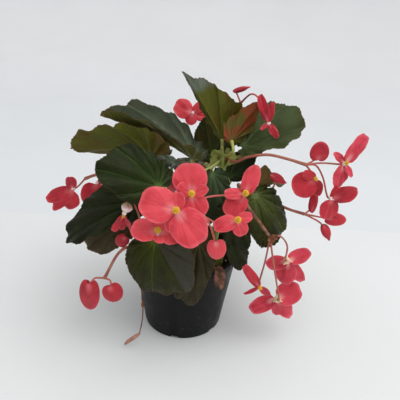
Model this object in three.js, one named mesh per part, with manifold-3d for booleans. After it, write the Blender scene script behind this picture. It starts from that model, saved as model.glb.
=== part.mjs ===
// A large-flowered begonia in a black nursery pot.
// Millimetres, +Z up. The origin is the centre of the pot's underside, and -Y is the plant's front.
import * as THREE from "three";
import { mergeVertices } from "three/addons/utils/BufferGeometryUtils.js";
import Module from "manifold-3d";

const wasm = await Module();
wasm.setup();

// Pot and soil
const POT_HEIGHT = 94;
const POT_BASE_RADIUS = 45;
const POT_TAPER = 0.15;
const POT_WALL = 1.4;
const POT_FLOOR = 2;
const LIP_HEIGHT = 9;
const LIP_STEP = 1.6;
const POT_SIDES = 28;
const DRAIN_NOTCHES = 6;
const NOTCH_WIDTH = 9;
const NOTCH_HEIGHT = 3;
const DRAIN_RING = 27;
const DRAIN_RADIUS = 4;
const SOIL_TOP = 84;
const FIT_GAP = 0.3;
const HOLE_PLAY = 1;

// Plant
const LEAF_THICKNESS = 0.8;
const PETAL_THICKNESS = 0.8;
const PETIOLE_RADIUS = 1.7;
const PEDUNCLE_RADIUS = 1.5;
const PEDICEL_RADIUS = 0.9;
const JUNCTION_GAP = 2.2;
const KNOT_SWELL = 1;
const KNOT_CLEARANCE = 1.4;
const BEND_CLEARANCE = 0.8;
const RECEPTACLE_RADIUS = 2.2;
const RECEPTACLE_DEPTH = 1.2;
const LARGE_LAYER = 0.2;
const SMALL_LAYER = -1.4;
const PETAL_START = 0.7;
const PETAL_ARCH = 14;
const PETAL_CURL = -6;
const OVARY_RADIUS = 5.2;
const OVARY_STRETCH = 0.94;
const OVARY_BACK = 7;
const STAMEN_RADIUS = 2.5;
const STAMEN_RISE = 4.4;
const STAMEN_STEM = 0.9;
const FORK_RADIUS = 1.9;
const PEDICEL_STRAIGHT = 6;
const BUD_THICKNESS = 2.4;
const APPROACH = 55;
const APPROACH_RUN = 13;
const TOOTH_DEPTH = 0.045;
const SMALL_LEAF = 66;

const GREEN = { color: 0x39482f, roughness: 0.5 };
const OLIVE = { color: 0x4b4a22, roughness: 0.55 };
const STEM = { color: 0x6f7434, roughness: 0.5 };
const STALK = { color: 0xa85a4c, roughness: 0.45 };
const CORAL = { color: 0xe8555f, roughness: 0.5 };
const RED = { color: 0xcb2a39, roughness: 0.5 };
const YELLOW = { color: 0xebb832, roughness: 0.6 };
const BLACK = { color: 0x202022, roughness: 0.45 };
const PEAT = { color: 0x2b211a, roughness: 0.95 };
const DRY = { color: 0x8a5f42, roughness: 0.8 };

const plant = new THREE.Group();
const radians = THREE.MathUtils.degToRad;
const at = (x, y, z) => new THREE.Vector3(x, y, z);
const point = (list) => new THREE.Vector3(...list);

function place(name, geometry, look) {
  const mesh = new THREE.Mesh(geometry, new THREE.MeshStandardMaterial({ ...look, metalness: 0 }));
  mesh.name = name;
  plant.add(mesh);
}

// Joining and cutting of closed meshes
function solid(geometry) {
  const bare = geometry.clone();
  bare.deleteAttribute("normal");
  bare.deleteAttribute("uv");
  const merged = mergeVertices(bare, 1e-4);
  return new wasm.Manifold(new wasm.Mesh({
    numProp: 3,
    vertProperties: new Float32Array(merged.attributes.position.array),
    triVerts: new Uint32Array(merged.index.array),
  }));
}

function geometryOf(body) {
  const mesh = body.getMesh();
  const geometry = new THREE.BufferGeometry();
  geometry.setAttribute("position", new THREE.BufferAttribute(new Float32Array(mesh.vertProperties), 3));
  geometry.setIndex(new THREE.BufferAttribute(new Uint32Array(mesh.triVerts), 1));
  geometry.computeVertexNormals();
  return geometry;
}

const fuse = (geometries) => geometryOf(geometries.map(solid).reduce((whole, next) => whole.add(next)));

// A round stalk through a few points
function stalk(points, radius, sides = 6, steps = 4 * (points.length - 1)) {
  const section = new THREE.Shape();
  for (let i = 0; i < sides; i += 1) {
    const angle = (2 * Math.PI * i) / sides;
    const corner = [radius * Math.cos(angle), radius * Math.sin(angle)];
    if (i === 0) section.moveTo(...corner);
    else section.lineTo(...corner);
  }
  const extrudePath = new THREE.CatmullRomCurve3(points, false, "centripetal");
  return new THREE.ExtrudeGeometry(section, { steps, extrudePath, bevelEnabled: false });
}

function ball(centre, radius, { stretch = 1, along = at(0, 0, 1), sides = 6, rows = 3 } = {}) {
  const geometry = new THREE.SphereGeometry(radius, sides, rows);
  geometry.scale(1, stretch, 1);
  const turn = new THREE.Quaternion().setFromUnitVectors(at(0, 1, 0), along.clone().normalize());
  geometry.applyQuaternion(turn);
  geometry.translate(centre.x, centre.y, centre.z);
  return geometry;
}

// Leaf outlines: degrees off the midrib, and the distance from the junction as a part of the length
const WIDE_HALF = [
  [0, 1], [12, 0.9], [30, 0.78], [50, 0.66], [75, 0.55], [100, 0.47], [130, 0.38], [160, 0.27],
];
const NARROW_HALF = [
  [0, 1], [12, 0.83], [30, 0.58], [50, 0.44], [75, 0.35], [100, 0.3], [130, 0.25], [160, 0.19],
];
const LEAF_ANGLES = [0, 10, 21, 33, 48, 66, 88, 112, 136, 160];
const PETAL_ANGLES = [0, 22, 44, 66];
const LEAF_RINGS = [0.36, 0.7, 1];
const SMALL_RINGS = [0.5, 1];
const PETAL_RINGS = [0.5, 1];
const SMALL_PETAL_ANGLES = [0, 34, 64];

function lookUp(table, angle) {
  const next = Math.max(1, table.findIndex(([degrees]) => degrees >= angle));
  const [a0, r0] = table[next - 1];
  const [a1, r1] = table[next];
  return r0 + ((r1 - r0) * (angle - a0)) / (a1 - a0);
}

// Odd columns are drawn in for the toothed edge. The lobe value shortens what lies behind the junction,
// and the blunt value widens the blade on both sides of its tip.
function leafReach(degrees, { wide, lobe, blunt }) {
  const angle = Math.min(Math.abs(degrees), 160);
  const table = degrees * wide >= 0 ? WIDE_HALF : NARROW_HALF;
  const tooth = LEAF_ANGLES.indexOf(angle) % 2 === 1 ? 1 - TOOTH_DEPTH : 1;
  const blunter = 1 + blunt * Math.sin(radians(Math.min(180, 3 * angle)));
  return lookUp(table, angle) * tooth * blunter * lobe ** (Math.max(0, angle - 60) / 100);
}

const petalReach = (degrees) => Math.cos(radians(Math.min(Math.abs(degrees), 80))) ** 0.7;

// The midrib: an arched line from 0,0 to 1,0, with its tip turned down further by the hook.
function midrib(arch, hook) {
  const steps = 24;
  const turn = (s) => arch * (0.5 - s) - hook * Math.max(0, (s - 0.55) / 0.45) ** 2;
  const points = [{ x: 0, z: 0 }];
  for (let i = 0; i < steps; i += 1) {
    const angle = turn((i + 0.5) / steps);
    const { x, z } = points[i];
    points.push({ x: x + Math.cos(angle) / steps, z: z + Math.sin(angle) / steps });
  }
  const end = points[steps];
  const span = Math.hypot(end.x, end.z);
  const lean = Math.atan2(end.z, end.x);
  return (s) => {
    const k = Math.min(Math.max(s, 0), 1) * steps;
    const i = Math.min(Math.floor(k), steps - 1);
    const x0 = points[i].x + (points[i + 1].x - points[i].x) * (k - i);
    const z0 = points[i].z + (points[i + 1].z - points[i].z) * (k - i);
    const before = Math.min(s, 0);
    const x1 = x0 + before * Math.cos(turn(0));
    const z1 = z0 + before * Math.sin(turn(0));
    return {
      x: (x1 * Math.cos(lean) + z1 * Math.sin(lean)) / span,
      z: (z1 * Math.cos(lean) - x1 * Math.sin(lean)) / span,
      angle: turn(Math.min(Math.max(s, 0), 1)) - lean,
    };
  };
}

// The middle surface of a leaf or petal, as a function of ring 0..1 and degrees off the midrib
function surface(blade) {
  const { base, tip, up, wide = 1, width = 1, arch = 30, hook = 0, fold = 0, curl = 0 } = blade;
  const { wave = 0, waves = 5, phase = 0, lobe = 1, blunt = 0, reach } = blade;
  const length = base.distanceTo(tip);
  const a = tip.clone().sub(base).normalize();
  const n = up.clone().addScaledVector(a, -up.dot(a)).normalize();
  const b = n.clone().cross(a);
  const rib = midrib(radians(arch), radians(hook));
  const bend = radians(curl) / (0.5 * length) + 1e-6;
  const rise = radians(fold);
  return (ring, degrees) => {
    const distance = ring * reach(degrees, { wide, lobe, blunt }) * length;
    const along = distance * Math.cos(radians(degrees));
    const across = distance * Math.sin(radians(degrees)) * width;
    const { x, z, angle } = rib(along / length);
    const u = Math.abs(across);
    const side = ((Math.sin(rise + bend * u) - Math.sin(rise)) / bend) * Math.sign(across);
    const lift = (Math.cos(rise) - Math.cos(rise + bend * u)) / bend;
    const ripple = wave * ring * ring * Math.sin(radians(waves * degrees + phase));
    const localUp = n.clone().multiplyScalar(Math.cos(angle)).addScaledVector(a, -Math.sin(angle));
    return base.clone()
      .addScaledVector(a, x * length)
      .addScaledVector(n, z * length)
      .addScaledVector(b, side)
      .addScaledVector(localUp, lift + ripple);
  };
}

// A closed sheet round that surface, split into triangles alike on both faces
function sheet(blade) {
  const { angles, rings, thickness } = blade;
  const middle = surface(blade);
  const columns = [...angles.slice(1).reverse().map((d) => -d), ...angles];
  const cells = [[0, 0]];
  rings.forEach((ring) => columns.forEach((degrees) => cells.push([ring, degrees])));
  const upper = [];
  const lower = [];
  cells.forEach(([ring, degrees]) => {
    const r = Math.max(ring, 0.12);
    const outward = middle(r + 0.05, degrees).sub(middle(r - 0.05, degrees));
    const turned = middle(r, degrees + 4).sub(middle(r, degrees - 4));
    const normal = outward.cross(turned).normalize();
    const here = middle(ring, degrees);
    upper.push(here.clone().addScaledVector(normal, thickness / 2));
    lower.push(here.clone().addScaledVector(normal, -thickness / 2));
  });
  const count = columns.length;
  const cell = (i, j) => 1 + i * count + j;
  const faces = [];
  for (let j = 0; j < count - 1; j += 1) {
    faces.push([0, cell(0, j), cell(0, j + 1)]);
    for (let i = 0; i < rings.length - 1; i += 1) {
      faces.push([cell(i, j), cell(i + 1, j), cell(i + 1, j + 1)]);
      faces.push([cell(i, j), cell(i + 1, j + 1), cell(i, j + 1)]);
    }
  }
  const last = rings.length - 1;
  const loop = [0];
  for (let i = 0; i <= last; i += 1) loop.push(cell(i, 0));
  for (let j = 1; j < count; j += 1) loop.push(cell(last, j));
  for (let i = last - 1; i >= 0; i -= 1) loop.push(cell(i, count - 1));
  const total = cells.length;
  const index = [];
  faces.forEach(([p, q, r]) => index.push(p, q, r, p + total, r + total, q + total));
  loop.forEach((p, k) => {
    const q = loop[(k + 1) % loop.length];
    index.push(p, p + total, q, q, p + total, q + total);
  });
  const geometry = new THREE.BufferGeometry();
  const flat = [...upper, ...lower].flatMap((v) => [v.x, v.y, v.z]);
  geometry.setAttribute("position", new THREE.Float32BufferAttribute(flat, 3));
  geometry.setIndex(index);
  geometry.computeVertexNormals();
  return geometry;
}

const LEAF = { reach: leafReach, angles: LEAF_ANGLES, rings: LEAF_RINGS, thickness: LEAF_THICKNESS };
const PETAL = { reach: petalReach, angles: PETAL_ANGLES, rings: PETAL_RINGS, thickness: PETAL_THICKNESS };
const SMALL_PETAL = { ...PETAL, angles: SMALL_PETAL_ANGLES, rings: [1] };
const BUD = { ...PETAL, rings: [1], thickness: BUD_THICKNESS, up: at(0, -0.9, 0.3) };

// The pot: a tapered wall with a stepped lip, drain holes in its floor and notches round its foot
function pot() {
  const outer = (z) => POT_BASE_RADIUS + POT_TAPER * z;
  const lipStart = POT_HEIGHT - LIP_HEIGHT;
  const profile = [
    [0, 0], [POT_BASE_RADIUS - 1.5, 0], [outer(1.5), 1.5],
    [outer(lipStart), lipStart], [outer(lipStart) + LIP_STEP, lipStart + 0.8],
    [outer(POT_HEIGHT) + LIP_STEP, POT_HEIGHT - 0.6], [outer(POT_HEIGHT) + LIP_STEP - 0.8, POT_HEIGHT],
    [outer(POT_HEIGHT) - POT_WALL, POT_HEIGHT], [outer(POT_FLOOR) - POT_WALL, POT_FLOOR], [0, POT_FLOOR],
  ];
  const body = new THREE.LatheGeometry(profile.map(([r, z]) => new THREE.Vector2(r, z)), POT_SIDES);
  body.rotateX(Math.PI / 2);
  let shell = solid(body);
  for (let i = 0; i < DRAIN_NOTCHES; i += 1) {
    const angle = ((i + 0.35) * 2 * Math.PI) / DRAIN_NOTCHES;
    const notch = new THREE.BoxGeometry(6, NOTCH_WIDTH, 2 * NOTCH_HEIGHT);
    notch.translate(POT_BASE_RADIUS, 0, 0);
    notch.rotateZ(angle);
    const hole = new THREE.CylinderGeometry(DRAIN_RADIUS, DRAIN_RADIUS, 3 * POT_FLOOR, 8);
    hole.rotateX(Math.PI / 2);
    hole.translate(DRAIN_RING, 0, 0);
    hole.rotateZ(angle);
    shell = shell.subtract(solid(notch)).subtract(solid(hole));
  }
  return geometryOf(shell);
}

// The soil: a filling that ends in a crumbly, slightly domed top, with a plain hole for each cane
function soil(holes) {
  const inner = (z) => POT_BASE_RADIUS + POT_TAPER * z - POT_WALL - FIT_GAP;
  const foot = POT_FLOOR + FIT_GAP;
  const profile = [[0, foot], [inner(foot) - 0.2, foot], [inner(SOIL_TOP) - 0.1, SOIL_TOP]];
  [0.7, 0.36, 0].forEach((part) => profile.push([inner(SOIL_TOP) * part, SOIL_TOP + 1.5]));
  const body = new THREE.LatheGeometry(profile.map(([r, z]) => new THREE.Vector2(r, z)), POT_SIDES);
  body.rotateX(Math.PI / 2);
  const spots = body.attributes.position;
  for (let i = 0; i < spots.count; i += 1) {
    const [x, y, z] = [spots.getX(i), spots.getY(i), spots.getZ(i)];
    if (z > SOIL_TOP + 1) spots.setZ(i, z + 1.2 * Math.sin(0.31 * x + 1) * Math.cos(0.27 * y + 0.12 * x));
  }
  return geometryOf(holes.reduce((whole, hole) => whole.subtract(solid(hole)), solid(body)));
}

// Leaves: base is where the stalk meets the blade, up is where the upper face looks
const LEAVES = {
  leaf_upper_left: {
    base: [3, -12, 204], tip: [-84, -25, 246], up: [0.1, -0.04, 1],
    wide: -1, width: 0.62, arch: 14, fold: 41, curl: -14, wave: 2, lobe: 0.45, blunt: 0.14, approach: 46,
  },
  leaf_far_left: {
    base: [-38, -22, 207], tip: [-122, -20, 207], up: [0, 0.75, 0.66],
    wide: 1, arch: 25, fold: 15, curl: -10, wave: 1.5, width: 0.8, look: OLIVE,
  },
  leaf_front_left: {
    base: [-25, -62, 191], tip: [-79, -75, 210], up: [0, -0.8, 0.6],
    wide: -1, arch: 36, fold: 4, curl: -26, wave: 1.5, lobe: 0.75, blunt: 0.16,
  },
  leaf_low_left: {
    base: [-48, -48, 167], tip: [-116, -62, 124], up: [-0.3, -0.6, 0.74],
    wide: -1, arch: 44, fold: 8, curl: -28, wave: 1.5, width: 0.76,
  },
  leaf_small_left: {
    base: [-60, -38, 144], tip: [-102, -46, 116], up: [-0.3, -0.7, 0.6],
    wide: 1, arch: 25, fold: 8, curl: -15, wave: 1, width: 0.9, blunt: 0.1,
  },
  leaf_front: {
    base: [-25, -84, 147], tip: [5, -79, 89], up: [-0.1, -0.95, 0.3],
    wide: -1, arch: 34, fold: 8, curl: -24, wave: 1.5, lobe: 0.6, width: 1.1, blunt: 0.08,
  },
  leaf_front_low: {
    base: [14, -69, 139], tip: [7, -72, 66], up: [0.1, -0.97, 0.2],
    wide: -1, arch: 22, fold: 6, curl: -14, wave: 1, width: 0.75,
  },
  leaf_rim_right: {
    base: [48, -50, 130], tip: [58, -51, 97], up: [0.5, -0.8, 0.3],
    wide: 1, arch: 25, fold: 6, curl: -15, wave: 1, width: 0.9,
  },
  leaf_mid_right: {
    base: [47, -51, 167], tip: [61, -58, 124], up: [-0.2, -0.9, 0.4],
    wide: -1, arch: 25, fold: 6, curl: -15, wave: 1, width: 0.8,
  },
  leaf_glossy: {
    base: [68, -30, 174], tip: [81, -52, 127], up: [0.35, -0.75, 0.55],
    wide: 1, arch: 40, fold: 8, curl: -28, wave: 1.2, lobe: 0.6, width: 1.1, blunt: 0.1,
  },
  leaf_young: {
    base: [72, -14, 182], tip: [77, -16, 203], up: [0.2, -0.9, 0.3],
    wide: -1, arch: 20, fold: 20, curl: -10, wave: 0.5, width: 1.2, approach: 44, look: OLIVE,
  },
  leaf_upper_right: {
    base: [56, 6, 213], tip: [116, -5, 240], up: [-0.1, -0.45, 0.9],
    wide: 1, arch: 14, fold: 16, curl: -6, wave: 1.5, lobe: 0.4, width: 1.2, blunt: 0.12,
  },
  leaf_erect: {
    base: [33, 8, 220], tip: [-11, -2, 285], up: [0.38, 0.83, 0.41],
    wide: 1, arch: 6, hook: 16, fold: 36, curl: -10, wave: 1, lobe: 0.5, width: 0.8, blunt: -0.15,
    approach: 46, look: OLIVE,
  },
  leaf_russet: {
    base: [42, -4, 222], tip: [68, -3, 262], up: [-0.3, 0.85, 0.4],
    wide: 1, arch: 20, fold: 20, curl: -10, wave: 1, lobe: 0.4, width: 0.9, look: OLIVE,
  },
  leaf_behind: {
    base: [24, 30, 190], tip: [14, 37, 234], up: [0, 0.9, 0.3],
    wide: 1, arch: 20, fold: 6, curl: -10, wave: 1, lobe: 0.4, width: 1.15, blunt: 0.1, look: OLIVE,
  },
  leaf_centre: {
    base: [25, -28, 193], tip: [25, -47, 146], up: [0, -0.9, 0.38],
    wide: 1, arch: 24, fold: 8, curl: -15, wave: 1.5, lobe: 0.5, width: 0.7, approach: 64,
  },
  leaf_centre_right: {
    base: [45, 20, 174], tip: [73, 20, 203], up: [-0.1, -0.85, 0.5],
    wide: 1, arch: 25, fold: 8, curl: -10, wave: 1, lobe: 0.3, width: 0.9, approach: 62,
  },
  leaf_side_right: {
    base: [66, 20, 152], tip: [110, 24, 126], up: [0.5, -0.3, 0.8],
    wide: -1, arch: 35, fold: 12, curl: -20, wave: 1.5, width: 0.85,
  },
  leaf_back_left: {
    base: [-22, 48, 176], tip: [-102, 78, 168], up: [-0.2, 0.4, 0.85],
    wide: 1, arch: 45, fold: 8, curl: -28, wave: 2,
  },
  leaf_back_mid: {
    base: [18, 86, 167], tip: [10, 150, 122], up: [0, 0.6, 0.8],
    wide: 1, arch: 45, fold: 8, curl: -28, wave: 2, lobe: 0.6,
  },
  leaf_back_right: {
    base: [52, 70, 156], tip: [118, 112, 126], up: [0.3, 0.4, 0.85],
    wide: -1, arch: 45, fold: 8, curl: -28, wave: 2, lobe: 0.7,
  },
  leaf_back_low: {
    base: [20, 64, 132], tip: [38, 94, 80], up: [0.2, 0.9, 0.4],
    wide: 1, arch: 25, fold: 8, curl: -15, wave: 1,
  },
};

// Canes: joints from inside the soil upwards, with the leaves that each joint bears
const CANES = {
  cane_main: {
    radius: 4.5,
    joints: [[28, 6, 46], [30, 5, 84], [34, 3, 128], [33, 5, 166], [36, 3, 200]],
    bears: {
      leaf_upper_left: [4, [18, -8, 190]], leaf_upper_right: [4], leaf_erect: [4], leaf_russet: [4],
      leaf_centre: [3], leaf_centre_right: [3],
    },
  },
  cane_left: {
    radius: 4,
    joints: [[-14, -6, 46], [-15, -8, 84], [-20, -20, 125], [-22, -30, 158], [-24, -36, 178]],
    bears: { leaf_far_left: [4], leaf_front_left: [4], leaf_low_left: [3], leaf_small_left: [2] },
  },
  cane_front: {
    radius: 3.6,
    joints: [[6, -26, 46], [6, -28, 84], [2, -46, 118], [0, -56, 148]],
    bears: { leaf_front: [3], leaf_front_low: [2] },
  },
  cane_right: {
    radius: 4,
    joints: [[36, -18, 46], [37, -20, 84], [46, -22, 124], [54, -18, 154], [60, -14, 172]],
    bears: { leaf_rim_right: [2], leaf_mid_right: [3], leaf_glossy: [4], leaf_young: [4] },
  },
  cane_back: {
    radius: 4,
    joints: [[8, 24, 46], [8, 26, 84], [12, 38, 124], [20, 46, 154], [20, 48, 174]],
    bears: {
      leaf_behind: [4], leaf_side_right: [3], leaf_back_left: [3], leaf_back_mid: [4], leaf_back_right: [3],
      leaf_back_low: [2],
    },
  },
};

// Blooms: petals are tip points with the petal's width as a part of its length
const BLOOMS = {
  bloom_front_left: {
    centre: [-5, -112, 192], face: [0, -0.85, 0.5], stamens: true,
    petals: [[-35, -112, 201, 0.86], [17, -119, 166, 0.8], [-10, -117, 174, 0.6], [-4, -107, 207, 0.7]],
  },
  bloom_front_top: {
    centre: [6, -98, 201], face: [0.1, -0.85, 0.5], stamens: true,
    petals: [[3, -92, 227, 1], [14, -102, 181, 0.95], [-6, -102, 210, 0.7], [20, -98, 208, 0.6]],
  },
  bloom_front_low: {
    centre: [-20, -108, 168], face: [0, -0.35, 0.94], stamens: true,
    petals: [[-43, -106, 172, 1], [3, -106, 168, 0.9], [-22, -94, 176, 0.7], [-17, -121, 166, 0.6]],
  },
  bloom_mid_top: {
    centre: [53, -72, 193], face: [0.1, -0.85, 0.5], stamens: true,
    petals: [[62, -66, 219, 0.5], [38, -76, 172, 0.7], [34, -76, 194, 0.5], [61, -70, 200, 0.6]],
  },
  bloom_mid_low: {
    centre: [47, -90, 176], face: [0, -0.9, 0.4], stamens: true,
    petals: [[26, -94, 169, 0.58], [53, -92, 161, 0.8], [60, -88, 180, 0.7]],
  },
  bloom_left_drop: {
    centre: [-54, -78, 169], face: [-0.2, -0.6, -0.75], ovary: true,
    petals: [[-64, -82, 153, 0.42], [-46, -82, 153, 0.5], [-57, -76, 152, 0.4]],
  },
  bloom_far_left: {
    centre: [-118, -18, 165], face: [-0.3, -0.9, 0.1],
    petals: [[-126, -20, 144, 1], [-121, -16, 178, 1], [-147, -18, 151, 0.42], [-140, -20, 141, 0.35]],
  },
  bloom_left_back: {
    centre: [-100, 10, 161], face: [-0.2, -0.8, -0.2],
    petals: [[-112, 6, 138, 0.85], [-90, 8, 146, 0.6], [-88, 8, 168, 0.5]],
  },
  bloom_top_left: {
    centre: [0, 46, 236], face: [-0.1, -0.85, 0.4],
    petals: [[-20, 42, 245, 0.9], [-2, 42, 223, 0.9], [17, 44, 231, 0.6], [11, 46, 248, 0.6]],
  },
  bloom_top_right: {
    centre: [76, -11, 243], face: [-0.3, -0.9, 0.2],
    petals: [[65, -7, 270, 0.3], [78, -10, 264, 0.3], [86, -17, 230, 0.4], [68, -15, 237, 0.35]],
  },
  bloom_right_long: {
    centre: [147, -40, 216], face: [0.3, -0.8, 0.4],
    petals: [[163, -36, 244, 0.42], [136, -36, 225, 0.5], [143, -42, 191, 0.55], [156, -42, 203, 0.4]],
  },
  bloom_right_round: {
    centre: [124, -34, 197], face: [-0.2, -0.9, 0.2],
    petals: [[103, -38, 184, 0.95], [129, -32, 178, 0.6], [109, -40, 205, 0.5]],
  },
  bloom_right_low: {
    centre: [139, -46, 182], face: [0.2, -0.9, 0.2],
    petals: [[161, -50, 194, 0.6], [137, -48, 160, 0.8], [142, -44, 196, 0.4]],
  },
  bloom_drop_back: {
    centre: [106, -48, 111], face: [0.3, 0.7, -0.5], ovary: true,
    petals: [[84, -50, 107, 0.62], [105, -50, 84, 0.75], [129, -44, 122, 0.55], [127, -44, 84, 0.35]],
  },
  bloom_drop_side: {
    centre: [78, -66, 90], face: [0, -0.9, 0.3],
    petals: [[59, -68, 117, 0.28], [62, -68, 82, 0.2], [90, -62, 78, 0.4]],
  },
  bloom_drop_low: {
    centre: [100, -48, 64], face: [0, 0.8, -0.5], ovary: true,
    petals: [[126, -44, 76, 0.8], [73, -48, 47, 0.5], [121, -44, 38, 0.45], [106, -46, 40, 0.5]],
  },
};

// Flower stalks: the stem, then branches that start at one of its points and end at a bloom or a bud
const SPRAYS = {
  spray_front: {
    joint: ["cane_front", 3], stem: [[2, -66, 164], [4, -78, 180]],
    branches: [
      { via: [], bloom: "bloom_front_left" },
      { via: [], bloom: "bloom_front_top" },
      { via: [], bloom: "bloom_front_low" },
      { via: [[20, -68, 186]], bloom: "bloom_mid_top" },
      { via: [[26, -76, 166], [40, -82, 163]], bloom: "bloom_mid_low" },
      { via: [[20, -84, 172]], bud: [[30, -90, 153], [32, -93, 137]] },
    ],
  },
  spray_left: {
    joint: ["cane_front", 2], stem: [[-30, -64, 126], [-50, -71, 132], [-60, -72, 126], [-76, -72, 95]],
    branches: [
      { from: 1, via: [[-40, -72, 156]], bloom: "bloom_left_drop" },
      { from: 2, via: [[-54, -64, 133]], bud: [[-55, -68, 140], [-63, -68, 131]] },
      { via: [[-86, -72, 94]], bud: [[-91, -72, 88], [-92, -72, 56]], width: 0.55 },
      { via: [[-70, -74, 94]], bud: [[-70, -75, 88], [-63, -77, 72]], width: 1 },
    ],
  },
  spray_far_left: {
    joint: ["cane_left", 4], stem: [[-49, -15, 183], [-94, -13, 180], [-106, -12, 175]],
    branches: [
      { via: [], bloom: "bloom_far_left" },
      { from: 1, via: [], bloom: "bloom_left_back" },
    ],
  },
  spray_top: {
    joint: ["cane_back", 4], stem: [[30, 50, 204], [44, 40, 236], [51, 35, 252]],
    branches: [
      { via: [], bud: [[42, 36, 263], [60, 36, 269]], width: 0.3 },
      { via: [[60, 22, 264], [67, 6, 262]], bloom: "bloom_top_right" },
      { from: 0, via: [[20, 54, 222]], bloom: "bloom_top_left" },
    ],
  },
  spray_right_high: {
    joint: ["cane_main", 4],
    stem: [[47, -12, 202], [58, -25, 212], [76, -30, 217], [94, -33, 215], [112, -35, 211]],
    branches: [
      { via: [], bloom: "bloom_right_round" },
      { via: [[128, -34, 213]], bloom: "bloom_right_long" },
      { via: [[118, -34, 214]], bud: [[123, -34, 217], [124, -34, 234]] },
      { via: [[124, -28, 208], [133, -26, 196]], bloom: "bloom_right_low" },
    ],
  },
  spray_right_low: {
    joint: ["cane_right", 4], stem: [[75, -8, 167], [103, -24, 159], [120, -31, 157]],
    branches: [
      { via: [], bud: [[127, -28, 158], [129, -23, 184]], width: 0.35 },
      { from: 0, via: [[88, -16, 179]], bud: [[82, -21, 194], [99, -23, 186]], width: 0.5 },
      { via: [[134, -37, 152]], bud: [[138, -38, 150], [147, -40, 133]], width: 0.5 },
      { via: [[138, -37, 157]], bud: [[141, -38, 157], [160, -38, 156]], width: 0.6 },
    ],
  },
  spray_drop: {
    joint: ["cane_right", 4], stem: [[50, -34, 186], [57, -58, 177], [72, -62, 159], [83, -60, 144]],
    branches: [
      { via: [[92, -58, 145], [102, -54, 132]], bloom: "bloom_drop_back" },
      { via: [[81, -60, 116]], bloom: "bloom_drop_side" },
      { via: [[89, -62, 117]], bloom: "bloom_drop_low" },
    ],
  },
  spray_behind: {
    joint: ["cane_back", 3], stem: [[0, 70, 148], [-24, 86, 142]],
    branches: [
      { via: [], bud: [[-30, 91, 141], [-52, 100, 146]], width: 0.9 },
      { via: [], bud: [[-28, 92, 136], [-30, 104, 113]], width: 0.8 },
    ],
  },
};

// Every leaf blade
const blades = {};
for (const [name, { look = GREEN, ...row }] of Object.entries(LEAVES)) {
  const blade = { ...LEAF, ...row, base: point(row.base), tip: point(row.tip), up: point(row.up) };
  if (blade.base.distanceTo(blade.tip) < SMALL_LEAF) blade.rings = SMALL_RINGS;
  blades[name] = blade;
  place(name, sheet(blade), look);
}

// Where a leaf's stalk ends below its blade, and a point further down the stalk
function junction(blade) {
  const middle = surface(blade);
  const start = middle(0, 0);
  const forward = middle(0.08, 0).sub(start).normalize();
  const normal = blade.up.clone().addScaledVector(forward, -blade.up.dot(forward)).normalize();
  const approach = radians(blade.approach ?? APPROACH);
  const arrival = forward.multiplyScalar(Math.cos(approach)).addScaledVector(normal, Math.sin(approach));
  return [APPROACH_RUN, JUNCTION_GAP].map((back) => start.clone().addScaledVector(arrival, -back));
}

// A cane: a jointed stem with a swollen top and the stalks of its leaves, standing in a hole in the soil
const stems = {};
const holes = [];
for (const [name, { joints, radius, bears }] of Object.entries(CANES)) {
  const line = joints.map(point);
  stems[name] = { line, radius };
  const pieces = [stalk(line, radius, 7, 2 * (line.length - 1))];
  pieces.push(ball(line[line.length - 1], radius + KNOT_SWELL, { sides: 8, rows: 5 }));
  for (const [leaf, [joint, ...via]] of Object.entries(bears)) {
    const route = [line[joint], ...via.map(point), ...junction(blades[leaf])];
    pieces.push(stalk(route, PETIOLE_RADIUS, 5, 4 + 2 * via.length));
  }
  place(name, fuse(pieces), STEM);
  holes.push(stalk([line[0].clone().add(at(0, 0, -FIT_GAP)), line[1], line[2]], radius + HOLE_PLAY, 8, 4));
}

// A bloom: petals fused round a small receptacle, with a three-winged ovary behind it in some
const backs = {};
for (const [name, { centre, face, petals, stamens, ovary }] of Object.entries(BLOOMS)) {
  const c = point(centre);
  const f = point(face).normalize();
  const pieces = [ball(c.clone().addScaledVector(f, -RECEPTACLE_DEPTH), RECEPTACLE_RADIUS, { along: f })];
  petals.forEach(([x, y, z, width], i) => {
    const tip = at(x, y, z);
    const outward = tip.clone().sub(c).normalize();
    const large = i < 2;
    const layer = large ? LARGE_LAYER : SMALL_LAYER;
    const base = c.clone().addScaledVector(outward, PETAL_START).addScaledVector(f, layer);
    const shape = large ? PETAL : SMALL_PETAL;
    pieces.push(sheet({ ...shape, base, tip, up: f, width, arch: PETAL_ARCH, curl: PETAL_CURL }));
  });
  let depth = RECEPTACLE_DEPTH + RECEPTACLE_RADIUS;
  if (ovary) {
    const ovaryCentre = c.clone().addScaledVector(f, -OVARY_BACK);
    pieces.push(ball(ovaryCentre, OVARY_RADIUS, { stretch: OVARY_STRETCH, along: f, sides: 3 }));
    depth = OVARY_BACK + OVARY_RADIUS * OVARY_STRETCH;
  }
  backs[name] = { back: c.clone().addScaledVector(f, -depth - FIT_GAP), f };
  place(name, fuse(pieces), petals.length > 3 ? CORAL : RED);
  if (stamens) {
    const foot = c.clone().addScaledVector(f, RECEPTACLE_RADIUS - RECEPTACLE_DEPTH + FIT_GAP);
    const column = stalk([foot, foot.clone().addScaledVector(f, 2)], STAMEN_STEM, 5, 1);
    const knob = ball(c.clone().addScaledVector(f, STAMEN_RISE), STAMEN_RADIUS, { stretch: 1.2, along: f });
    place(name.replace("bloom", "stamens"), fuse([knob, column]), YELLOW);
  }
}

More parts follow.
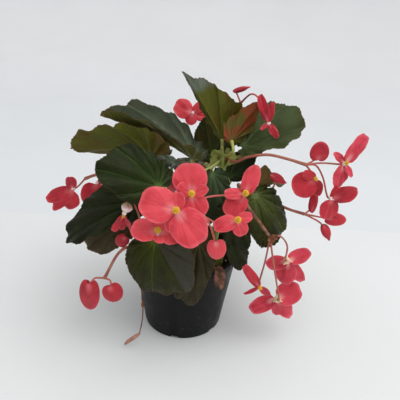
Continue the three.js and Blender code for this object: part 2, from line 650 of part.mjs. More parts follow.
// A spray: its stem starts just clear of the cane that carries it, and its branches end at blooms or buds
for (const [name, { joint: [cane, index], stem, branches }] of Object.entries(SPRAYS)) {
  const { radius, line: joints } = stems[cane];
  const clearance = radius + (index === joints.length - 1 ? KNOT_CLEARANCE : BEND_CLEARANCE);
  const origin = joints[index];
  const start = origin.clone().addScaledVector(point(stem[0]).sub(origin).normalize(), clearance);
  const line = [start, ...stem.map(point)];
  const pieces = [stalk(line, PEDUNCLE_RADIUS, 5, 2 * stem.length)];
  branches.forEach(({ from = stem.length - 1, via, bloom, bud, width = 0.9 }) => {
    const fork = point(stem[from]);
    const route = [fork, ...via.map(point)];
    if (bloom) {
      const { back, f } = backs[bloom];
      route.push(back.clone().addScaledVector(f, -PEDICEL_STRAIGHT), back);
      pieces.push(stalk(route, PEDICEL_RADIUS, 4, 2 * route.length - 2));
    } else {
      const [base, tip] = bud.map(point);
      pieces.push(stalk([...route, base.clone().lerp(tip, 0.2)], PEDICEL_RADIUS, 4, 2 * route.length));
      pieces.push(sheet({ ...BUD, base, tip, width }));
    }
  });
  pieces.push(ball(line[line.length - 1], FORK_RADIUS));
  place(name, fuse(pieces), STALK);
}

place("pot", pot(), BLACK);
place("soil", soil(holes), PEAT);

// A dead flower stalk hanging free beside the pot, with its dried bract at the end
const deadLine = [
  [-0.6, -48.4, 116.4], [-20, -60, 108], [-40, -63, 90], [-41, -61, 70], [-40, -60, 50], [-41, -60, 34],
  [-44, -60, 17],
];
const deadStrip = {
  ...PETAL, base: at(-43, -60, 18), tip: at(-60, -64, 5), up: at(0, -0.8, 0.6), width: 0.35, thickness: 1.2,
};
place("dry_stalk", fuse([
  stalk(deadLine.map(point), 0.8, 4, 9),
  ball(at(-40, -60, 56), 1.7, { stretch: 2.2 }),
  sheet(deadStrip),
]), DRY);

// A fallen bract lying over the pot's rim
place("dry_bract", sheet({
  ...PETAL, base: at(37.5, -41.5, 97.2), tip: at(39, -60.5, 81), up: at(0.4, -0.7, 0.9),
  width: 0.5, arch: 55,
}), DRY);

export default plant;
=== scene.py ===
import math

import bpy
import numpy as np
from mathutils import Matrix, Vector, noise


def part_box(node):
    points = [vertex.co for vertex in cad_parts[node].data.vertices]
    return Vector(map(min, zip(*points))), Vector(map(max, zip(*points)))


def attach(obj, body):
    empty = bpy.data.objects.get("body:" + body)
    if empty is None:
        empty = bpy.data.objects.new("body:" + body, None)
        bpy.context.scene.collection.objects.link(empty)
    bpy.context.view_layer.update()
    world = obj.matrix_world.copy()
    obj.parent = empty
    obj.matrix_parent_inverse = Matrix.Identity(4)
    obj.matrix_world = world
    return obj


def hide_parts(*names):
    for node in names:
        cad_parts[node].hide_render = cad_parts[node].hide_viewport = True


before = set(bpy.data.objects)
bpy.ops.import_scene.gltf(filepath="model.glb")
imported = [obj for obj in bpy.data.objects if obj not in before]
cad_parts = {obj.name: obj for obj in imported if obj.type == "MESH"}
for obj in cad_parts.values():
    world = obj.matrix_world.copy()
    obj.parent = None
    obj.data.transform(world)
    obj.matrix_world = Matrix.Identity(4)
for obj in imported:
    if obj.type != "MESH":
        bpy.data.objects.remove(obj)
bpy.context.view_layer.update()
scene = bpy.context.scene

# The camera stands in front of the plant and above it, looks down on it a little, and is
# turned slightly, so that the picture leans clockwise. Its focal length is in picture pixels.
MM = 0.001
CAMERA_PLACE = Vector((13.6, -425, 343)) * MM
CAMERA_PITCH = math.radians(24.16)
CAMERA_ROLL = math.radians(3.14)
CAMERA_FOCAL = 431
PICTURE_WIDTH = 400
SENSOR_WIDTH = 36
ahead = Vector((0, math.cos(CAMERA_PITCH), -math.sin(CAMERA_PITCH)))
level = Vector((1, 0, 0))
above = level.cross(ahead)
right = math.cos(CAMERA_ROLL) * level + math.sin(CAMERA_ROLL) * above
upward = math.cos(CAMERA_ROLL) * above - math.sin(CAMERA_ROLL) * level
camera = bpy.data.objects.new("camera", bpy.data.cameras.new("camera"))
camera.data.sensor_width = SENSOR_WIDTH
camera.data.lens = SENSOR_WIDTH * CAMERA_FOCAL / PICTURE_WIDTH
camera_turn = Matrix((right, upward, -ahead)).transposed().to_4x4()
camera.matrix_world = Matrix.Translation(CAMERA_PLACE) @ camera_turn
scene.collection.objects.link(camera)
scene.camera = camera

# The pot: a thin black nursery pot of pressed plastic, tapered, with a stepped lip that
# stiffens its edge. Drain holes are punched in its floor, and notches run through its foot.
POT_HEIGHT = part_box("pot")[1].z
POT_LIP_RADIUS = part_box("pot")[1].x
POT_BASE_RADIUS = 45 * MM
POT_TAPER = 0.15
POT_WALL = 1.4 * MM
POT_FLOOR = 2 * MM
POT_SIDES = 112
POT_SHARP_ANGLE = math.radians(40)
POT_ROUNDINGS = (0, 1.5, 0.6, 0.8, 1.1, 0.6, 1, 2, 0)
LIP_HEIGHT = 9 * MM
LIP_LEAN = 0.9 * MM
STEP_RISE = 0.6 * MM
MOUTH_STEP = 0.5 * MM
MOUTH_DEPTH = 3 * MM
CORNER_STEPS = 4
DRAIN_COUNT = 6
DRAIN_RING = 27 * MM
DRAIN_RADIUS = 4 * MM
DRAIN_SIDES = 24
DRAIN_DEPTH = 20 * MM
DRAIN_TURN = 0.35
NOTCH_SIZE = Vector((6, 9, 6)) * MM


def new_object(name, mesh):
    """Puts a mesh into the scene as an object at the origin."""
    made = bpy.data.objects.new(name, mesh)
    scene.collection.objects.link(made)
    return made


def mesh_of(name, points, faces, looks=(), look_index=None, marks=None):
    """A mesh from arrays, with its materials and its point attributes."""
    mesh = bpy.data.meshes.new(name)
    mesh.from_pydata(np.asarray(points).tolist(), [], [list(map(int, face)) for face in faces])
    for look in looks:
        mesh.materials.append(look)
    if look_index is not None:
        mesh.polygons.foreach_set("material_index", np.asarray(look_index, np.int32))
    for mark, values in (marks or {}).items():
        values = np.asarray(values, np.float32)
        kind, field = ("FLOAT_VECTOR", "vector") if values.ndim == 2 else ("FLOAT", "value")
        mesh.attributes.new(mark, kind, "POINT").data.foreach_set(field, values.ravel())
    mesh.shade_smooth()
    mesh.update()
    return mesh


def round_faces(rows, sides):
    """The faces of a closed round body: rows of points round an axis, between two end points."""
    last = 1 + rows * sides
    faces = []
    for j in range(sides):
        k = (j + 1) % sides
        faces.append([0, 1 + k, 1 + j])
        faces.append([last, last - sides + j, last - sides + k])
        for i in range(rows - 1):
            low = 1 + i * sides
            faces.append([low + j, low + k, low + sides + k, low + sides + j])
    return faces


def revolved(name, profile, sides):
    """A closed round body from a profile of radius and height that starts and ends on the axis."""
    profile = np.asarray(profile, float)
    turn = np.arange(sides) * 2 * math.pi / sides
    body = profile[1:-1]
    rows = np.stack([
        np.outer(body[:, 0], np.cos(turn)), np.outer(body[:, 0], np.sin(turn)),
        np.repeat(body[:, 1:2], sides, axis=1),
    ], -1).reshape(-1, 3)
    points = np.vstack([[0, 0, profile[0, 1]], rows, [0, 0, profile[-1, 1]]])
    return mesh_of(name, points, round_faces(len(body), sides))


def rounded(corners):
    """An outline of x, y and corner radius, with each corner drawn as an arc."""
    line = []
    for i, (x, y, radius) in enumerate(corners):
        here = Vector((x, y))
        if radius == 0:
            line.append(here)
            continue
        before = Vector(corners[i - 1][:2]) - here
        after = Vector(corners[i + 1][:2]) - here
        reach = min(radius, before.length / 2, after.length / 2)
        start = here + before.normalized() * reach
        end = here + after.normalized() * reach
        for step in range(CORNER_STEPS + 1):
            t = step / CORNER_STEPS
            line.append(start * (1 - t) ** 2 + here * 2 * t * (1 - t) + end * t ** 2)
    return [(point.x, point.y) for point in line]


def add(tree, kind, inputs=None, **settings):
    """One node, with its settings, and with its inputs linked or set by name or number."""
    made = tree.nodes.new(kind)
    for key, value in settings.items():
        setattr(made, key, value)
    for key, source in (inputs or {}).items():
        if isinstance(source, bpy.types.NodeSocket):
            tree.links.new(source, made.inputs[key])
        else:
            made.inputs[key].default_value = source
    return made


def result(tree, kind, inputs=None, **settings):
    """The first output of a new node."""
    return add(tree, kind, inputs, **settings).outputs[0]


def geometry_tree(name, **sockets):
    """An empty geometry tree with named inputs, and its input and output sockets."""
    tree = bpy.data.node_groups.new(name, "GeometryNodeTree")
    tree.interface.new_socket("Geometry", in_out="INPUT", socket_type="NodeSocketGeometry")
    tree.interface.new_socket("Geometry", in_out="OUTPUT", socket_type="NodeSocketGeometry")
    for label, kind in sockets.items():
        tree.interface.new_socket(label, in_out="INPUT", socket_type="NodeSocket" + kind)
    return tree, add(tree, "NodeGroupInput").outputs, add(tree, "NodeGroupOutput").inputs


def finished(tree, geometry, look, out):
    """Ends a tree: its copies are made real and get their material."""
    real = result(tree, "GeometryNodeRealizeInstances", {0: geometry})
    tree.links.new(result(tree, "GeometryNodeSetMaterial", {0: real, 2: look}), out["Geometry"])


def joined_geometry(tree, *geometries):
    """Several geometries as one."""
    join = add(tree, "GeometryNodeJoinGeometry")
    for geometry in geometries:
        tree.links.new(geometry, join.inputs[0])
    return join.outputs[0]


def grown(piece, tree, **values):
    """Runs a tree on an object and leaves the result as its plain mesh."""
    modifier = piece.modifiers.new("grow", "NODES")
    modifier.node_group = tree
    for item in tree.interface.items_tree:
        if item.in_out == "INPUT" and item.name in values:
            modifier[item.identifier] = values[item.name]
    graph = bpy.context.evaluated_depsgraph_get()
    mesh = bpy.data.meshes.new_from_object(
        piece.evaluated_get(graph), preserve_all_data_layers=True, depsgraph=graph
    )
    piece.modifiers.clear()
    piece.data = mesh
    return piece


def paint(red, green, blue):
    """A colour given as it looks on a screen, 0 to 255, as the shaders need it."""
    shares = (red / 255, green / 255, blue / 255)
    linear = [c / 12.92 if c <= 0.04045 else ((c + 0.055) / 1.055) ** 2.4 for c in shares]
    return (*linear, 1)


def look_named(name, roughness, **constants):
    """A material with one shader, and the values that are alike all over it."""
    look = bpy.data.materials.new(name)
    look.use_nodes = True
    shader = look.node_tree.nodes["Principled BSDF"]
    shader.inputs["Roughness"].default_value = roughness
    for label, value in constants.items():
        shader.inputs[label.replace("_", " ")].default_value = value
    return look, look.node_tree, shader


def covered(tree, shader, colour, rough=None):
    """Links a shader's colour, and its roughness where that varies."""
    tree.links.new(colour, shader.inputs["Base Color"])
    if rough is not None:
        tree.links.new(rough, shader.inputs["Roughness"])


def own_place(tree):
    """A place in the object's own space."""
    return add(tree, "ShaderNodeTexCoord").outputs["Object"]


def one_of(tree, vector, axis):
    """The X, Y or Z of a vector."""
    return add(tree, "ShaderNodeSeparateXYZ", {0: vector}).outputs[axis]


def blend(tree, factor, first, second):
    """Two colours mixed by a factor."""
    return add(tree, "ShaderNodeMix", {0: factor, 6: first, 7: second}, data_type="RGBA").outputs[2]


def ranged(tree, value, low, high, start=0.0, end=1.0):
    """A value brought smoothly from one range to another."""
    inputs = {0: value, 1: low, 2: high, 3: start, 4: end}
    return result(tree, "ShaderNodeMapRange", inputs, interpolation_type="SMOOTHSTEP")


def sums(tree, kind, first, second=0.0):
    """One step of arithmetic on values."""
    return result(tree, "ShaderNodeMath", {0: first, 1: second}, operation=kind)


def times(tree, first, second):
    """One value times another."""
    return sums(tree, "MULTIPLY", first, second)


def grain(tree, scale, detail=3.0, vector=None):
    """Soft noise in the object's own space, in patches of about one over the scale in metres."""
    where = vector or own_place(tree)
    return result(tree, "ShaderNodeTexNoise", {"Vector": where, "Scale": scale, "Detail": detail})


def relief(tree, shader, height, depth, strength=1.0, under=None):
    """Fine relief of a depth in metres, over any that is given."""
    inputs = {"Strength": strength, "Distance": depth, "Height": height}
    if under is not None:
        inputs["Normal"] = under
    bump = result(tree, "ShaderNodeBump", inputs)
    tree.links.new(bump, shader.inputs["Normal"])
    return bump


def pot_plastic():
    """Black plastic with a soft sheen, dust that clings low down, and small scuffs."""
    look, tree, shader = look_named("black_plastic", 0.42, Specular_IOR_Level=0.15)
    place = own_place(tree)
    low_down = ranged(tree, one_of(tree, place, "Z"), 50 * MM, 0.0, 0.06, 0.3)
    dust = times(tree, ranged(tree, grain(tree, 210, 5), 0.55, 0.75), low_down)
    body = blend(tree, grain(tree, 40), paint(9, 9, 11), paint(14, 14, 17))
    scuffs = ranged(tree, grain(tree, 90, 4), 0.3, 0.7, 0.4, 0.5)
    covered(tree, shader, blend(tree, dust, body, paint(84, 78, 72)), scuffs)
    stretched = result(tree, "ShaderNodeMapping", {"Vector": place, "Scale": (1, 1, 14)})
    rings = relief(tree, shader, grain(tree, 60, 2, stretched), 0.2 * MM, 0.3)
    relief(tree, shader, grain(tree, 2400, 2), 0.08 * MM, 0.4, rings)
    return look


lip_start = POT_HEIGHT - LIP_HEIGHT
mouth = POT_BASE_RADIUS + POT_TAPER * POT_HEIGHT - POT_WALL
pot_corners = [
    (0, 0), (POT_BASE_RADIUS, 0), (POT_BASE_RADIUS + POT_TAPER * lip_start, lip_start),
    (POT_LIP_RADIUS - LIP_LEAN, lip_start + STEP_RISE), (POT_LIP_RADIUS, POT_HEIGHT), (mouth, POT_HEIGHT),
    (mouth - MOUTH_STEP, POT_HEIGHT - MOUTH_DEPTH), (POT_BASE_RADIUS - POT_WALL, POT_FLOOR), (0, POT_FLOOR),
]
pot_outline = rounded([(*corner, rounding * MM) for corner, rounding in zip(pot_corners, POT_ROUNDINGS)])
pot = new_object("pot_shell", revolved("pot_shell", pot_outline, POT_SIDES))
cuts, given, out = geometry_tree(
    "drain_cuts", Count="Int", Ring="Float", Foot="Float", Bore="Float", Notch="Vector", Look="Material"
)
place = result(cuts, "GeometryNodeInputPosition")
outward = result(cuts, "FunctionNodeAlignRotationToVector", {"Vector": place}, axis="X")
bore_inputs = {"Vertices": DRAIN_SIDES, "Radius": given["Bore"], "Depth": DRAIN_DEPTH}
bore = result(cuts, "GeometryNodeMeshCylinder", bore_inputs)
notch = result(cuts, "GeometryNodeMeshCube", {"Size": given["Notch"]})
cutters = []
for spread, cutter in ((given["Ring"], bore), (given["Foot"], notch)):
    circle = result(cuts, "GeometryNodeMeshCircle", {"Vertices": given["Count"], "Radius": spread})
    cutters.append(result(cuts, "GeometryNodeInstanceOnPoints", {0: circle, 2: cutter, 5: outward}))
drain_turn = (0, 0, DRAIN_TURN * 2 * math.pi / DRAIN_COUNT)
turned = result(cuts, "GeometryNodeTransform", {0: joined_geometry(cuts, *cutters), 2: drain_turn})
cut = result(cuts, "GeometryNodeMeshBoolean", {0: given["Geometry"], 1: turned}, operation="DIFFERENCE")
finished(cuts, cut, given["Look"], out)
grown(
    pot, cuts, Count=DRAIN_COUNT, Ring=DRAIN_RING, Foot=POT_BASE_RADIUS, Bore=DRAIN_RADIUS, Notch=NOTCH_SIZE,
    Look=pot_plastic(),
)
pot.data.set_sharp_from_angle(angle=POT_SHARP_ANGLE)
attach(pot, "root")
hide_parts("pot")

# The soil: peat potting mix, filled in loose, with crumbs and white grains on its top.
# It fits the pot's wall, and the canes stand in it.
SOIL_TOP = 84 * MM
SOIL_SIDES = 96
SOIL_ROWS = 26
SOIL_FLOOR_GAP = 0.3 * MM
SOIL_WALL_GAP = 0.5 * MM
SOIL_CHAMFER = 2 * MM
SOIL_LIFT = 1.5
SOIL_SWELL = 1.2
SOIL_ROUGHNESS = 1.1
SOIL_LUMPS = 0.22
SOIL_WAVES = (0.31, 0.27, 0.12)
SOIL_FRACTAL = (0.6, 2, 4)
SOIL_EDGE = 6 * MM
TOP_FACING = 0.6
LUMP_SCALE = 0.9
FULL_TURN = 6.28
STREWN = {
    "soil_crumbs": dict(Density=190000, Small=0.35 * MM, Large=1.3 * MM, Seed=3),
    "soil_grains": dict(Density=16000, Small=0.5 * MM, Large=1.2 * MM, Seed=8),
}


def soil_look(name, dark, light, bump):
    """Damp crumbs, darker and lighter in soft patches."""
    look, tree, shader = look_named(name, 0.95, Specular_IOR_Level=0.2)
    covered(tree, shader, blend(tree, grain(tree, 420, 4), dark, light))
    relief(tree, shader, grain(tree, 1600, 4), bump)
    return look


def soil_radius(height):
    """How far the soil reaches at a height, just inside the pot's wall."""
    return POT_BASE_RADIUS + POT_TAPER * height - POT_WALL - SOIL_WALL_GAP


def soil_rise(x, y):
    """How far the loose top stands above its level at a place, all in millimetres."""
    first, second, slant = SOIL_WAVES
    swell = SOIL_SWELL * math.sin(first * x + 1) * math.cos(second * y + slant * x)
    lumps = SOIL_ROUGHNESS * noise.fractal(Vector((x, y, 0)) * SOIL_LUMPS, *SOIL_FRACTAL)
    return SOIL_LIFT + swell + lumps


foot = POT_FLOOR + SOIL_FLOOR_GAP
soil_outline = [
    (0, foot), (soil_radius(foot) - SOIL_CHAMFER, foot),
    (soil_radius(foot + SOIL_CHAMFER), foot + SOIL_CHAMFER),
]
soil_outline += [(soil_radius(SOIL_TOP) * (1 - i / SOIL_ROWS), SOIL_TOP) for i in range(SOIL_ROWS + 1)]
soil_mesh = revolved("soil_bed", soil_outline, SOIL_SIDES)
for point in soil_mesh.vertices:
    if point.co.z > SOIL_TOP - MM:
        edge = min(1, (soil_radius(SOIL_TOP) - point.co.xy.length) / SOIL_EDGE)
        point.co.z += soil_rise(point.co.x / MM, point.co.y / MM) * edge * MM
peat = soil_look("peat", paint(28, 21, 17), paint(66, 50, 38), 1.2 * MM)
white_grains = soil_look("white_grains", paint(150, 145, 135), paint(215, 212, 205), 0.4 * MM)
soil_mesh.materials.append(peat)
soil = new_object("soil_bed", soil_mesh)
strewn, given, out = geometry_tree(
    "strewn", Density="Float", Small="Float", Large="Float", Seed="Int", Look="Material"
)
upward_face = one_of(strewn, result(strewn, "GeometryNodeInputNormal"), "Z")
top_only = result(strewn, "FunctionNodeCompare", {0: upward_face, 1: TOP_FACING}, operation="GREATER_THAN")
spread = {0: given["Geometry"], 1: top_only, 4: given["Density"], 6: given["Seed"]}
spots = result(strewn, "GeometryNodeDistributePointsOnFaces", spread)
crumb = result(strewn, "GeometryNodeMeshIcoSphere", {"Radius": 1.0, "Subdivisions": 2})
lumps = add(strewn, "ShaderNodeTexNoise", {"Scale": LUMP_SCALE, "Detail": 2.0}).outputs["Color"]
uneven = result(strewn, "ShaderNodeVectorMath", {0: lumps, 1: (0.5, 0.5, 0.5)}, operation="SUBTRACT")
lumpy = result(strewn, "GeometryNodeSetPosition", {0: crumb, 3: uneven})
turns = {0: (0, 0, 0), 1: (FULL_TURN, FULL_TURN, FULL_TURN), 8: given["Seed"]}
turn = result(strewn, "FunctionNodeRandomValue", turns, data_type="FLOAT_VECTOR")
sizes = {2: given["Small"], 3: given["Large"], 8: given["Seed"]}
size = add(strewn, "FunctionNodeRandomValue", sizes, data_type="FLOAT").outputs[1]
crumbs = result(strewn, "GeometryNodeInstanceOnPoints", {0: spots, 2: lumpy, 5: turn, 6: size})
finished(strewn, crumbs, given["Look"], out)
for name, look in (("soil_crumbs", peat), ("soil_grains", white_grains)):
    piece = new_object(name, soil_mesh.copy())
    grown(piece, strewn, **STREWN[name], Look=look)
    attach(piece, "root")
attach(soil, "root")
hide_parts("soil")

# The canes: fleshy stems that stand in the soil, with swollen rings at their joints. Each
# leaf's stalk grows out of a joint and arrives at its blade from below. A cane is given by its
# radius and the places of its joints, and a leaf by its blade's base, tip and upper side.
CANES = {
    "main": (4.5, [(28, 6, 46), (30, 5, 84), (34, 3, 128), (33, 5, 166), (36, 3, 200)]),
    "left": (4, [(-14, -6, 46), (-15, -8, 84), (-20, -20, 125), (-22, -30, 158), (-24, -36, 178)]),
    "front": (3.6, [(6, -26, 46), (6, -28, 84), (2, -46, 118), (0, -56, 148)]),
    "right": (4, [(36, -18, 46), (37, -20, 84), (46, -22, 124), (54, -18, 154), (60, -14, 172)]),
    "back": (4, [(8, 24, 46), (8, 26, 84), (12, 38, 124), (20, 46, 154), (20, 48, 174)]),
}
LEAVES = {
    "upper_left": dict(
        cane="main", joint=4, via=[(18, -8, 190)], approach=46, tone="painted_sheen",
        base=(3, -12, 204), tip=(-84, -25, 246), up=(0.1, -0.04, 1),
        wide=-1, width=0.62, arch=14, fold=41, curl=-14, wave=2, lobe=0.45, blunt=0.14,
    ),
    "far_left": dict(
        cane="left", joint=4, tone="olive",
        base=(-38, -22, 207), tip=(-122, -20, 207), up=(0, 0.75, 0.66),
        wide=1, arch=25, fold=15, curl=-10, wave=1.5, width=0.8,
    ),
    "front_left": dict(
        cane="left", joint=4, tone="veined",
        base=(-25, -62, 191), tip=(-79, -75, 210), up=(0, -0.8, 0.6),
        wide=-1, arch=36, fold=4, curl=-26, wave=1.5, lobe=0.75, blunt=0.16,
    ),
    "low_left": dict(
        cane="left", joint=3, tone="dark",
        base=(-48, -48, 167), tip=(-116, -62, 124), up=(-0.3, -0.6, 0.74),
        wide=-1, arch=44, fold=8, curl=-28, wave=1.5, width=0.76,
    ),
    "small_left": dict(
        cane="left", joint=2, tone="dusky_painted_light",
        base=(-60, -38, 144), tip=(-102, -46, 116), up=(-0.3, -0.7, 0.6),
        wide=1, arch=25, fold=8, curl=-15, wave=1, width=0.9, blunt=0.1,
    ),
    "front": dict(
        cane="front", joint=3, tone="bronze",
        base=(-25, -84, 147), tip=(5, -79, 89), up=(-0.1, -0.95, 0.3),
        wide=-1, arch=34, fold=8, curl=-24, wave=1.5, lobe=0.6, width=1.1, blunt=0.08,
    ),
    "front_low": dict(
        cane="front", joint=2, tone="dusky",
        base=(14, -69, 139), tip=(7, -72, 66), up=(0.1, -0.97, 0.2),
        wide=-1, arch=22, fold=6, curl=-14, wave=1, width=0.75,
    ),
    "rim_right": dict(
        cane="right", joint=2, tone="dark",
        base=(48, -50, 130), tip=(58, -51, 97), up=(0.5, -0.8, 0.3),
        wide=1, arch=25, fold=6, curl=-15, wave=1, width=0.9,
    ),
    "mid_right": dict(
        cane="right", joint=3, tone="dark",
        base=(47, -51, 167), tip=(61, -58, 124), up=(-0.2, -0.9, 0.4),
        wide=-1, arch=25, fold=6, curl=-15, wave=1, width=0.8,
    ),
    "glossy": dict(
        cane="right", joint=4, tone="glossy",
        base=(68, -30, 174), tip=(81, -52, 127), up=(0.35, -0.75, 0.55),
        wide=1, arch=40, fold=8, curl=-28, wave=1.2, lobe=0.6, width=1.1, blunt=0.1,
    ),
    "young": dict(
        cane="right", joint=4, approach=44, tone="young",
        base=(72, -14, 182), tip=(77, -16, 203), up=(0.2, -0.9, 0.3),
        wide=-1, arch=20, fold=20, curl=-10, wave=0.5, width=1.2,
    ),
    "upper_right": dict(
        cane="main", joint=4, tone="fresh",
        base=(56, 6, 213), tip=(116, -5, 240), up=(-0.1, -0.45, 0.9),
        wide=1, arch=14, fold=16, curl=-6, wave=1.5, lobe=0.4, width=1.2, blunt=0.12,
    ),
    "erect": dict(
        cane="main", joint=4, approach=46, tone="erect",
        base=(33, 8, 220), tip=(-11, -2, 285), up=(0.38, 0.83, 0.41),
        wide=1, arch=6, hook=16, fold=36, curl=-10, wave=1, lobe=0.5, width=0.8, blunt=-0.15,
    ),
    "russet": dict(
        cane="main", joint=4, tone="russet",
        base=(42, -4, 222), tip=(68, -3, 262), up=(-0.3, 0.85, 0.4),
        wide=1, arch=20, fold=20, curl=-10, wave=1, lobe=0.4, width=0.9,
    ),
    "behind": dict(
        cane="back", joint=4, tone="shaded",
        base=(24, 30, 190), tip=(14, 37, 234), up=(0, 0.9, 0.3),
        wide=1, arch=20, fold=6, curl=-10, wave=1, lobe=0.4, width=1.15, blunt=0.1,
    ),
    "centre": dict(
        cane="main", joint=3, approach=64, tone="slate",
        base=(25, -28, 193), tip=(25, -47, 146), up=(0, -0.9, 0.38),
        wide=1, arch=24, fold=8, curl=-15, wave=1.5, lobe=0.5, width=0.7,
    ),
    "centre_right": dict(
        cane="main", joint=3, approach=62, tone="slate",
        base=(45, 20, 174), tip=(73, 20, 203), up=(-0.1, -0.85, 0.5),
        wide=1, arch=25, fold=8, curl=-10, wave=1, lobe=0.3, width=0.9,
    ),
    "side_right": dict(
        cane="back", joint=3, tone="slate",
        base=(66, 20, 152), tip=(110, 24, 126), up=(0.5, -0.3, 0.8),
        wide=-1, arch=35, fold=12, curl=-20, wave=1.5, width=0.85,
    ),
    "back_left": dict(
        cane="back", joint=3, tone="veined",
        base=(-22, 48, 176), tip=(-102, 78, 168), up=(-0.2, 0.4, 0.85),
        wide=1, arch=45, fold=8, curl=-28, wave=2,
    ),
    "back_mid": dict(
        cane="back", joint=4, tone="slate",
        base=(18, 86, 167), tip=(10, 150, 122), up=(0, 0.6, 0.8),
        wide=1, arch=45, fold=8, curl=-28, wave=2, lobe=0.6,
    ),
    "back_right": dict(
        cane="back", joint=3, tone="veined",
        base=(52, 70, 156), tip=(118, 112, 126), up=(0.3, 0.4, 0.85),
        wide=-1, arch=45, fold=8, curl=-28, wave=2, lobe=0.7,
    ),
    "back_low": dict(
        cane="back", joint=2, tone="dark",
        base=(20, 64, 132), tip=(38, 94, 80), up=(0.2, 0.9, 0.4),
        wide=1, arch=25, fold=8, curl=-15, wave=1,
    ),
}
PETIOLE = dict(radius=1.7, taper=0.15, foot=0.9, foot_fade=9, end=0.5, end_fade=16)
ARRIVAL_SLOPE = 55
ARRIVAL_RUN = 13 * MM
JUNCTION_GAP = 1.5 * MM
CANE_INSET = 0.1
JOINT_SWELL = 0.9
JOINT_REACH = 2.2 * MM
KNOT_SWELL = 1.0
KNOT_TURNS = np.linspace(-0.9, 1.5, 12)
LINE_STEP = 1.6 * MM
CANE_SIDES = 20
RIB_STEPS = 24
HOOK_START = 0.55
EDGE_WAVES = 5
WIDE_HALF = [(0, 1), (12, 0.9), (30, 0.78), (50, 0.66), (75, 0.55), (100, 0.47), (130, 0.38), (160, 0.27)]
NARROW_HALF = [(0, 1), (12, 0.83), (30, 0.58), (50, 0.44), (75, 0.35), (100, 0.3), (130, 0.25), (160, 0.19)]
LEAF_SPAN = 160
DRAWN_IN = 0.02
LOBE_START = 60
SOFTENING = ((-1, 0.25), (0, 0.5), (1, 0.25))
SOFTENING_SPREAD = 5
NEAR_FOOT = 0.08


def in_metres(points):
    """Points given in millimetres."""
    return [Vector(point) * MM for point in points]


def around(size, count, degrees, start=0.0):
    """Waves in a fan round a foot, from how many of them would fill a full turn."""
    return size * np.sin(np.radians(degrees * count) + start)


def smooth_line(controls):
    """A smooth line through some points, in short steps."""
    ends = [2 * controls[0] - controls[1], *controls, 2 * controls[-1] - controls[-2]]
    line = [controls[0]]
    for a, b, c, d in zip(ends, ends[1:], ends[2:], ends[3:]):
        before, here, after = (math.sqrt(max((q - p).length, 1e-6)) for p, q in ((a, b), (b, c), (c, d)))
        start = ((b - a) / before - (c - a) / (before + here) + (c - b) / here) * here
        end = ((c - b) / here - (d - b) / (here + after) + (d - c) / after) * here
        count = max(2, round((c - b).length / LINE_STEP))
        for i in range(1, count + 1):
            t = i / count
            line.append(
                b * (2 * t ** 3 - 3 * t ** 2 + 1) + start * (t ** 3 - 2 * t ** 2 + t)
                + c * (3 * t ** 2 - 2 * t ** 3) + end * (t ** 3 - t ** 2)
            )
    return line


def stalk_radii(count, radius, taper, foot, foot_fade, end, end_fade):
    """A stalk's radii from millimetres: it tapers, and swells at its foot and at its end."""
    share = np.linspace(0, 1, count)
    swell = foot * np.exp(-share * foot_fade) + end * np.exp(-(1 - share) * end_fade)
    return (radius - taper * share + swell) * MM


def strands(name, lines):
    """Lines of points, each with its thickness, as loose edges for the stalk tree."""
    points, edges, thick = [], [], []
    for line, radii in lines:
        edges += [(len(points) + i, len(points) + i + 1) for i in range(len(line) - 1)]
        points += [tuple(point) for point in line]
        thick += list(radii)
    mesh = bpy.data.meshes.new(name)
    mesh.from_pydata(points, edges, [])
    mark = mesh.attributes.new("thick", "FLOAT", "POINT")
    mark.data.foreach_set("value", np.array(thick, np.float32))
    return new_object(name, mesh)


stalks, given, out = geometry_tree("stalks", Sides="Int", Uneven="Float", Patch="Float", Look="Material")
line = result(stalks, "GeometryNodeMeshToCurve", {0: given["Geometry"]})
thick = result(stalks, "GeometryNodeInputNamedAttribute", {"Name": "thick"}, data_type="FLOAT")
ring = result(stalks, "GeometryNodeCurvePrimitiveCircle", {"Resolution": given["Sides"], "Radius": 1.0})
tube = result(stalks, "GeometryNodeCurveToMesh", {0: line, 1: ring, 2: thick, 3: True})
patches = result(stalks, "ShaderNodeTexNoise", {"Scale": given["Patch"], "Detail": 2.0})
amount = times(stalks, sums(stalks, "SUBTRACT", patches, 0.5), given["Uneven"])
normal = result(stalks, "GeometryNodeInputNormal")
outward = result(stalks, "ShaderNodeVectorMath", {0: normal, "Scale": amount}, operation="SCALE")
shaped = result(stalks, "GeometryNodeSetPosition", {0: tube, 3: outward})
smooth = result(stalks, "GeometryNodeSetShadeSmooth", {0: shaped})
finished(stalks, smooth, given["Look"], out)


def midrib(arch, hook):
    """The blade's length line, arched, with its tip turned down by the hook."""
    middle = (np.arange(RIB_STEPS) + 0.5) / RIB_STEPS

    def turn(s):
        return arch * (0.5 - s) - hook * np.maximum(0, (s - HOOK_START) / (1 - HOOK_START)) ** 2

    x = np.concatenate([[0], np.cumsum(np.cos(turn(middle)) / RIB_STEPS)])
    z = np.concatenate([[0], np.cumsum(np.sin(turn(middle)) / RIB_STEPS)])
    span, lean = math.hypot(x[-1], z[-1]), math.atan2(z[-1], x[-1])
    places = np.linspace(0, 1, RIB_STEPS + 1)

    def at(s):
        held = np.clip(s, 0, 1)
        before = np.minimum(s, 0)
        x1 = np.interp(held, places, x) + before * math.cos(turn(0))
        z1 = np.interp(held, places, z) + before * math.sin(turn(0))
        along = (x1 * math.cos(lean) + z1 * math.sin(lean)) / span
        rise = (z1 * math.cos(lean) - x1 * math.sin(lean)) / span
        return along, rise, turn(held) - lean

    return at


def unit(vector):
    """A vector of length one."""
    return vector / np.linalg.norm(vector)


def square_to(direction, line):
    """A direction turned square to a line."""
    return unit(np.array(direction, float) - np.dot(direction, line) * line)


